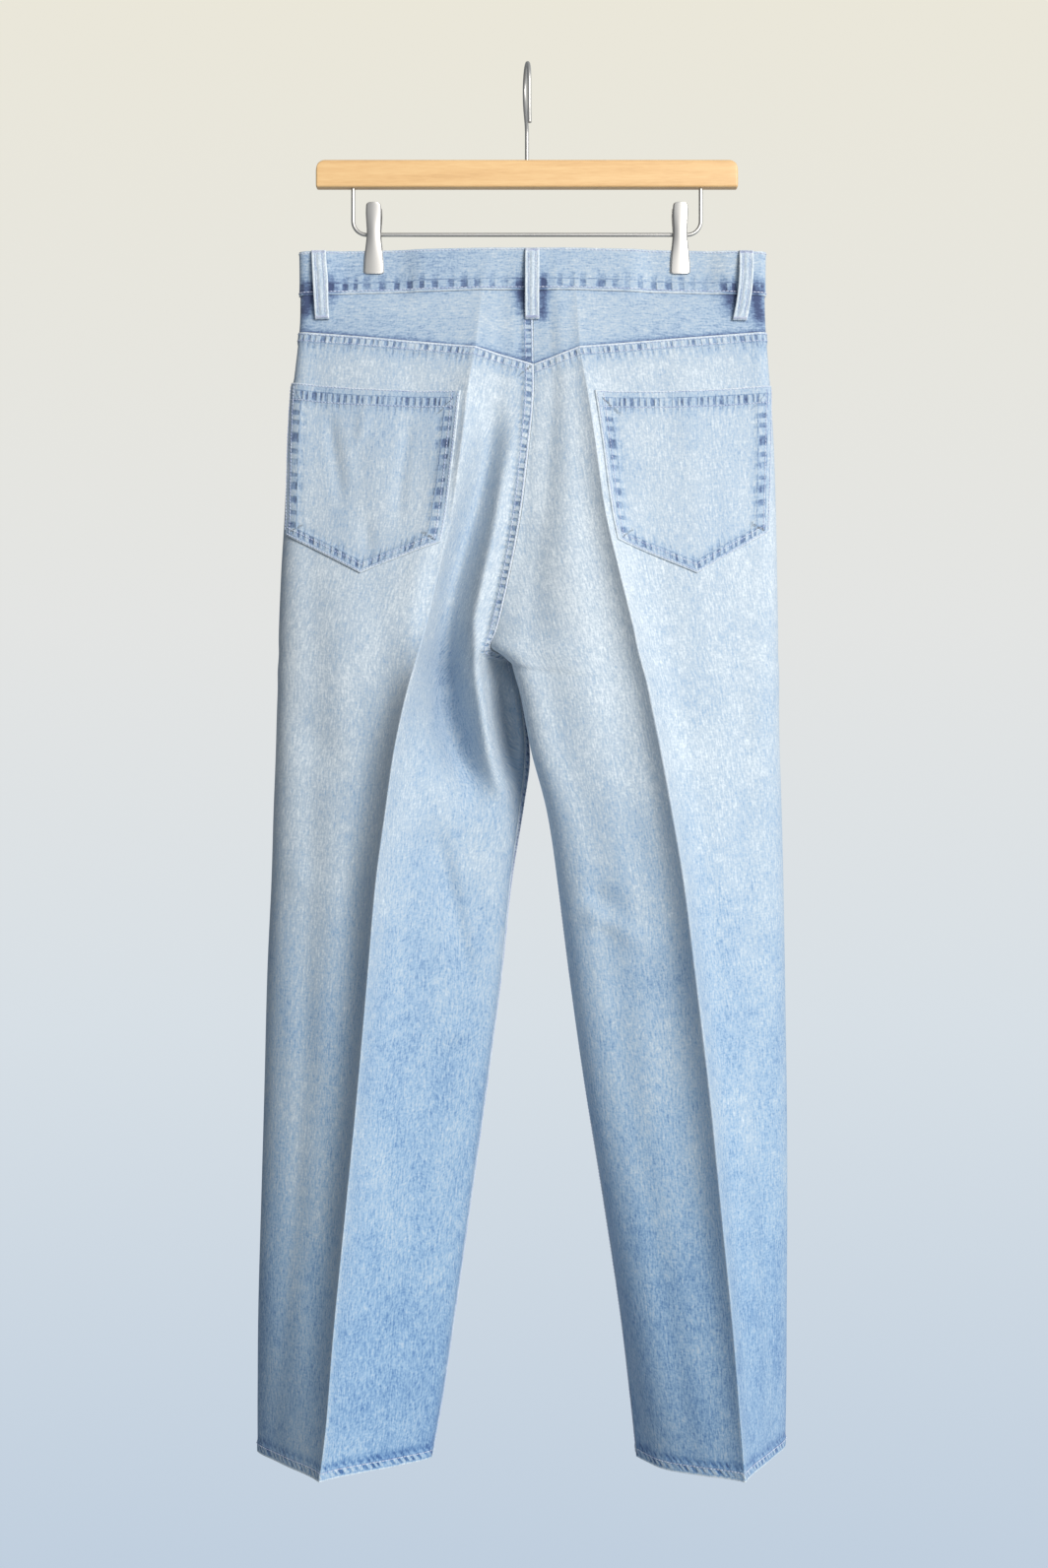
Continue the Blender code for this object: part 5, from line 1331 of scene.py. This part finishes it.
# %% A line beside an edge
def edge_line(piece, edge, inset, start=0.0, stop=1.0):
    """Points and outward directions on a piece's cloth at a distance from one edge of its grid."""
    grid, out = SURFACES[piece]
    if edge in ("left", "right"):
        grid, out = grid.swapaxes(0, 1), out.swapaxes(0, 1)
    if edge in ("bottom", "right"):
        grid, out = grid[::-1], out[::-1]
    run = edge_runs(grid)[0]
    low = np.clip(np.sum(run < inset, axis=0) - 1, 0, len(grid) - 2)
    column = np.arange(grid.shape[1])
    row_step = np.maximum(run[low + 1, column] - run[low, column], 1e-6)
    share = ((inset - run[low, column]) / row_step)[:, None]
    points = grid[low, column] * (1 - share) + grid[low + 1, column] * share
    last = grid.shape[1] - 1
    keep = slice(int(start * last), int(stop * last) + 1)
    return points[keep], out[low, column][keep]


# %% Stitches
def stitch_row(line, pitch=3.2, length=2.6, width=0.62, arch=0.30, turned=False):
    """Every stitch of a row: centre + along * tangent + ring around it, arched by 1 - (2a)^2."""
    points, out = line
    run = along_line(points)
    at = np.arange(pitch, run[-1] - pitch / 2, pitch)
    centre, up = between(at, run, points), unit(between(at, run, out))
    tangent = unit(between(at + 0.8, run, points) - centre)
    across = np.cross(tangent, up)
    if turned:
        tangent, across = across, -tangent
    angle = circle(SIDES)
    ring = RING_RADIUS[:, None] * width / 2
    a = RING_AT[:, None] * length + 0 * angle
    high = 0.10 + arch * (1 - 4 * RING_AT[:, None] ** 2) + ring * np.sin(angle)
    moves = ((tangent, a), (across, ring * np.cos(angle)), (up, high))
    return centre[:, None, None] + sum(way[:, None, None] * size[..., None] for way, size in moves)


def sew(name, rows):
    """All the stitches of some rows as one mesh, with closed ends."""
    points = np.concatenate(rows)
    rings = len(RING_AT)
    _, side = ring_sides(rings, SIDES)
    caps = np.array([[0, 3, 2, 1], [0, 5, 4, 3]])
    faces = np.concatenate([side, caps, (caps + (rings - 1) * SIDES)[:, ::-1]])
    faces = (faces[None] + np.arange(len(points))[:, None, None] * rings * SIDES).reshape(-1, 4)
    made = put_mesh(name, points.reshape(-1, 3), faces[:, ::-1])
    made.data.materials.append(THREAD)
    print(name, len(points), "stitches")


# %% Rows of stitches
# each row: piece, edge, distance from it, and the part of the edge from start to stop
PANEL, HEM, POCKET = (3.2, 2.6), (3.4, 2.8), (3.0, 2.4)     # pitch and length of a stitch
POCKET_PART, CENTRE_STOP = (0.03, 0.97), 0.335
back_rows, front_rows, band_rows = [], [], []
for leg in LEGS:
    panel, front, pocket = f"back_{leg}_cloth", f"front_{leg}_cloth", f"back_pocket_{leg}_cloth"
    for inset in (1.6, 7.4):
        back_rows.append(stitch_row(edge_line(panel, "top", inset), *PANEL))
        for edge in ("left", "right", "bottom"):
            back_rows.append(stitch_row(edge_line(pocket, edge, inset, *POCKET_PART), *POCKET))
    for inset in (1.4, 15.2):
        back_rows.append(stitch_row(edge_line(pocket, "top", inset, *POCKET_PART), *POCKET))
    back_rows.append(stitch_row(edge_line(panel, "bottom", 7.4), *HEM))
    front_rows.append(stitch_row(edge_line(front, "bottom", 7.4), *HEM))
    for inset in (1.6, 7.2):
        front_rows.append(stitch_row(edge_line(front, "top", inset, 0.0, 0.46), *PANEL))
        front_rows.append(stitch_row(edge_line(front, "right", inset, 0.36, 1.0), *PANEL))
for inset in (1.4, 7.0):
    back_rows.append(stitch_row(edge_line("yoke_left_cloth", "right", inset), *PANEL))
    back_rows.append(stitch_row(edge_line("back_left_cloth", "right", inset, 0.0, CENTRE_STOP), *PANEL))
    below_fly = edge_line("front_left_cloth", "right", inset, 0.17, CENTRE_STOP)
    front_rows.append(stitch_row(below_fly, *PANEL))
    front_rows.append(stitch_row(edge_line("fly_cloth", "left", inset), *PANEL))
front_rows.append(stitch_row(edge_line("coin_pocket_cloth", "top", 1.5), *POCKET))
front_rows.append(stitch_row(edge_line("fly_cloth", "right", 1.6, 0.0, 0.75), *PANEL))
band_rows.append(stitch_row(edge_line("waistband_cloth", "top", 1.6), *PANEL))
band_rows.append(stitch_row(edge_line("waistband_cloth", "bottom", 2.4), 3.4, 3.0, 0.8))
for name in LOOPS:
    for edge in ("left", "right"):
        band_rows.append(stitch_row(edge_line(name + "_cloth", edge, 3.4, 0.06, 0.94), 2.8, 2.3))
    for edge in ("top", "bottom"):
        bar_tack = edge_line(name + "_cloth", edge, 1.8)
        band_rows.append(stitch_row(bar_tack, 0.75, 2.6, 0.5, turned=True))
for where, rows in (("back", back_rows), ("front", front_rows), ("waist", band_rows)):
    sew("stitches_" + where, rows)

# %% [markdown]
# ## Hanger
#
# The bar is a slat of pale beech with rounded ends and a satin finish. A wire hook is screwed
# into its middle. Below it a bent wire carries two sprung clips, each pressed from nickel
# plate and free to slide, so that one hanger fits any waist. The grain is noise stretched
# along the bar, which needs no picture and runs out at the end faces as real grain does.

# %% Beech
BEECH, beech_tree, beech_shader = new_finish("oiled_beech", 0.42, Coat_Weight=0.15, Coat_Roughness=0.35)
BEECH_STOPS = ((0.34, (0.60, 0.36, 0.155)), (0.50, (0.68, 0.42, 0.185)), (0.66, (0.73, 0.475, 0.22)))


def wood_noise(scale, detail):
    """Noise with its own scale along the bar and across it."""
    place = node(beech_tree, "ShaderNodeTexCoord").outputs["Object"]
    place = node(beech_tree, "ShaderNodeMapping", i0=place, Scale=scale).outputs[0]
    return node(beech_tree, "ShaderNodeTexNoise", Vector=place, Scale=1.0, Detail=detail).outputs["Fac"]


grain, fleck = wood_noise((6.0, 160.0, 160.0), 4.0), wood_noise((90.0, 900.0, 900.0), 1.0)
wood = maths(beech_tree, "MULTIPLY_ADD", fleck, 0.35, maths(beech_tree, "MULTIPLY", grain, 0.75))
beech_tree.links.new(ramp(beech_tree, wood, BEECH_STOPS), beech_shader.inputs["Base Color"])
beech_bump = node(beech_tree, "ShaderNodeBump", Strength=0.15, Distance=0.0002, Height=wood)
beech_tree.links.new(beech_bump.outputs[0], beech_shader.inputs["Normal"])


# %% Nickel and brushed steel
def metal(name, colour, roughness):
    """A metal whose roughness wanders a little with a fine noise."""
    made, tree, shader = new_finish(name, Base_Color=(*colour, 1), Metallic=1.0)
    place = node(tree, "ShaderNodeTexCoord").outputs["Object"]
    worn = node(tree, "ShaderNodeTexNoise", Vector=place, Scale=9.0, Detail=1.0)
    tree.links.new(step(tree, worn.outputs["Fac"], 0.3, 0.7, roughness * 0.95, roughness * 1.05),
                   shader.inputs["Roughness"])
    return made


NICKEL = metal("satin_nickel", (0.55, 0.53, 0.50), 0.46)
BUTTON_METAL = metal("antique_button_metal", (0.52, 0.48, 0.42), 0.38)


# %% A closed body from rings
def tube(name, rings, surface, node_name):
    """Faces between the rings, and a fan of quads at each end, turned outwards by the volume's sign."""
    around = rings.shape[1]
    index, side = ring_sides(*rings.shape[:2])
    ends = []
    for ring, flip in ((index[0], -1), (index[-1], 1)):
        low = np.arange(around // 2 - 1)
        corners = [ring[low], ring[low + 1], ring[around - 2 - low], ring[around - 1 - low]]
        ends.append(np.stack(corners, axis=-1)[:, ::flip])
    quads, points = np.concatenate([side, *ends]), rings.reshape(-1, 3)
    corner = points[quads] - points.mean(axis=0)
    volume = np.sum(corner[:, 0] * np.cross(corner[:, 1], corner[:, 2]))
    made = put_mesh(name, points, quads if volume > 0 else quads[:, ::-1])
    made.data.materials.append(surface)
    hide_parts(node_name)


# %% Bar, a rounded section carried along its length
BAR_LENGTH, BAR_HEIGHT, BAR_DEPTH, BAR_TOP, BAR_CORNER = 372.0, 24.0, 12.0, -84.0, 8.0
BAR_EDGE, BAR_END = 2.0, 1.6        # radius of the long edges, and of the rim of each end
half = BAR_LENGTH / 2
end_turn = np.linspace(math.pi / 2, 0, 7)
station = np.concatenate([half - BAR_END + BAR_END * np.sin(end_turn),
                          np.linspace(half - 1.7, half - BAR_CORNER, 14)])
station = np.concatenate([-station, [0.0], station[::-1]])
beyond = np.maximum(np.abs(station) - (half - BAR_CORNER), 0)
top = BAR_TOP - (BAR_CORNER - np.sqrt(np.maximum(BAR_CORNER ** 2 - beyond ** 2, 0)))
bottom = BAR_TOP - BAR_HEIGHT
past = np.maximum(np.abs(station) - (half - BAR_END), 0) / BAR_END
squeeze = BAR_END * (1 - np.sqrt(np.clip(1 - past ** 2, 0, 1)))
turn = circle(48) + math.pi / 48
high, deep = (top - bottom) / 2 - squeeze, BAR_DEPTH / 2 - squeeze
corner_y = np.sign(np.cos(turn)) * (deep[:, None] - BAR_EDGE) + BAR_EDGE * np.cos(turn)
corner_z = np.sign(np.sin(turn)) * (high[:, None] - BAR_EDGE) + BAR_EDGE * np.sin(turn)
bar_rings = np.stack([station[:, None] + 0 * turn, corner_y, (top + bottom)[:, None] / 2 + corner_z],
                     axis=-1)
tube("hanger_bar_wood", bar_rings, BEECH, "hanger_bar")


# %% Wires
def wire(name, path, radius, node_name, segments=20):
    """A round wire: at each point of the path, a circle square to the way ahead."""
    ahead = unit(np.gradient(path, axis=0))
    level_side = np.array((0.0, 1.0, 0.0) if np.abs(ahead[:, 1]).max() < 0.2 else (1.0, 0.0, 0.0))
    side = unit(level_side - ahead * (ahead @ level_side)[:, None])
    other = np.cross(ahead, side)
    turn = circle(segments)[None, :, None]
    rings = (path[:, None] + radius * np.cos(turn) * side[:, None]
             + radius * np.sin(turn) * other[:, None])
    tube(name, rings, NICKEL, node_name)


def even_path(line, step_mm):
    """The same line with points every step_mm, from straight interpolation along its length."""
    run = along_line(line)
    return between(np.linspace(0, run[-1], int(run[-1] / step_mm) + 1), run, line)


# %% Hook: a stem, a neck that swings out as a cubic curve, half a circle, and a short tip
WIRE, HOOK_RADIUS, HOOK_TURN, TIP_Z = 3.5, 19.0, math.radians(-6), -56.0
NECK_Z, STEM_DEPTH = -62.0, 13.5
centre_z = WIRE / 2 - HOOK_RADIUS
over = np.linspace(0, math.pi, 60)
arc = np.stack([HOOK_RADIUS * np.cos(over), centre_z + HOOK_RADIUS * np.sin(over)], axis=1)
t = np.linspace(0, 1, 40)[1:-1, None]
low, high_end = np.array((0.0, NECK_Z)), arc[0]
neck = ((1 - t) ** 3 * low + 3 * t * (1 - t) ** 2 * (low + (0, 16))
        + 3 * t * t * (1 - t) * (high_end - (0, 20)) + t ** 3 * high_end)
tip = np.array([(-HOOK_RADIUS - 0.1, centre_z - 12), (-HOOK_RADIUS - 0.8, centre_z - 26),
                (-HOOK_RADIUS - 2.4, TIP_Z)])
stem = [(0, BAR_TOP - STEM_DEPTH), (0, BAR_TOP), (0, -70.0)]
line = np.vstack([stem, low, neck, arc, tip])
hook_path = np.stack([line[:, 0] * math.sin(HOOK_TURN), line[:, 0] * math.cos(HOOK_TURN), line[:, 1]],
                     axis=1)
wire("hanger_hook_wire", even_path(hook_path, 1.6), WIRE / 2, "hanger_hook")
print("hook wire in millimetres:", round(along_line(hook_path)[-1]))

# %% Clip wire: two quarter circles and straight lines between them
WIRE_REACH, WIRE_Z, WIRE_CORNER, WIRE_INSERT = 153.5, -149.0, 12.0, 9.0
over = np.linspace(0, math.pi / 2, 24)
bend = np.stack([WIRE_REACH - WIRE_CORNER + WIRE_CORNER * np.cos(over),
                 WIRE_Z + WIRE_CORNER - WIRE_CORNER * np.sin(over)], axis=1)
right_half = np.vstack([[(WIRE_REACH, BAR_TOP - BAR_HEIGHT + WIRE_INSERT)], bend])
line = np.vstack([right_half, (right_half * (-1, 1))[::-1]])
wire("clip_wire_run", even_path(np.insert(line, 1, 0.0, axis=1), 1.8), WIRE / 2, "clip_wire")
print("clip wire in millimetres:", round(along_line(line)[-1]))


# %% Clips
# height, width, and depth of the plate's inner face at eight places down it
CLIP_PLATE = np.array([
    (-122.5, 12.6, 8.6), (-131, 13.6, 7.2), (-139, 13.0, 6.0), (-146, 12.2, 5.3),
    (-152, 12.6, 4.9), (-160, 14.4, 4.4), (-172, 17.0, 3.9), (-184.5, 18.2, 3.6),
])
PLATE_OUTER, PLATE_INNER, PLATE_CORNER = 1.2, 0.25, 2.6
# radius and place along the wire
SLEEVE = ((1.9, -5.5), (4.2, -5.5), (4.7, -5.0), (4.7, 5.0), (4.2, 5.5), (1.9, 5.5))


def clip(side, x):
    """Two spade-shaped plates with rolled edges, and the sleeve that they pivot on."""
    z, wide, deep = along(CLIP_PLATE, crowded(60, 0.8) * (len(CLIP_PLATE) - 1)).T
    end = np.minimum(np.abs(z - CLIP_PLATE[0, 0]), np.abs(z - CLIP_PLATE[-1, 0]))
    short = (1 - np.minimum(end / PLATE_CORNER, 1)) ** 2
    wide = wide / 2 - PLATE_CORNER * (1 - np.sqrt(np.clip(1 - short, 0, 1)))
    across = np.sin(np.linspace(-math.pi / 2, math.pi / 2, 25))
    px = x + wide[:, None] * across
    curl = 0.5 * (1 - across ** 2) - 1.0 * smooth(np.abs(across), 0.86, 1.0)
    crown = 0.5 * bell(z + 150, 16)[:, None] * (1 - across ** 2)
    lean = deep[:, None] + curl
    for face, sign in (("front", -1), ("rear", 1)):
        outer, inner = (np.stack([px, sign * depth, z[:, None] + 0 * px], axis=-1)
                        for depth in (lean + PLATE_OUTER + crown, lean + PLATE_INNER))
        made = sewn_piece(f"clip_{face}_{side}_plate", outer, inner, no_seam(outer), 0 * px,
                          surface=NICKEL)
        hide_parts(f"clip_{face}_{side}")
    turn = circle(40)
    rings = np.stack([np.stack([np.full(40, x + off), radius * np.cos(turn),
                                WIRE_Z + radius * np.sin(turn)], axis=1) for radius, off in SLEEVE])
    tube(f"clip_sleeve_{side}_barrel", rings, NICKEL, f"clip_sleeve_{side}")


clip("left", -CLIP_X)
clip("right", CLIP_X)


# %% Waist button
# radius and height of the domed head, from the middle of its back to the middle of its front
BUTTON = np.array([
    (0.3, 0.3), (5.0, 0.3), (5.0, 1.2), (7.9, 1.3), (8.4, 1.6), (8.5, 2.1), (8.3, 2.8), (7.6, 3.3),
    (6.7, 3.4), (6.0, 3.1), (5.4, 2.7), (4.4, 2.75), (3.0, 3.0), (1.5, 3.15), (0.3, 3.2),
])
BUTTON_LEVEL, BUTTON_POSITION = np.array([0.5]), np.array([0.985])
SHANK = 0.9
seat = FACES["front_right"].points(BUTTON_LEVEL, BUTTON_POSITION, np.array([BAND_LIFT + LAP_LIFT]))[0]
turn = circle(64)
button_rings = np.stack([seat[0] + BUTTON[:, :1] * np.cos(turn),
                         seat[1] + SHANK + BUTTON[:, 1:] + 0 * turn,
                         seat[2] + BUTTON[:, :1] * np.sin(turn)], axis=-1)
tube("waist_button_metal", button_rings, BUTTON_METAL, "waist_button")
print("hanger and button built")

# %% [markdown]
# ## The floor
#
# Every piece of cloth carries the flat place that it was cut from, as its cut attribute. A pale
# disc stands for the floor, well below the hems.

# %% Floor, a pale disc well below the hems
FLOOR_RADIUS, FLOOR_Z = 0.70, -1.62     # metres
turn = circle(96)
rim = np.stack([FLOOR_RADIUS * np.cos(turn), FLOOR_RADIUS * np.sin(turn), np.full(96, FLOOR_Z)], axis=1)
floor = bpy.data.meshes.new("floor")
floor.from_pydata([tuple(p) for p in rim], [], [tuple(range(96))])
floor_object = bpy.data.objects.new("floor", floor)
bpy.context.scene.collection.objects.link(floor_object)
floor.materials.append(new_finish("pale_floor", 0.9, Base_Color=(0.80, 0.81, 0.82, 1))[0])
print("floor in metres:", FLOOR_Z)
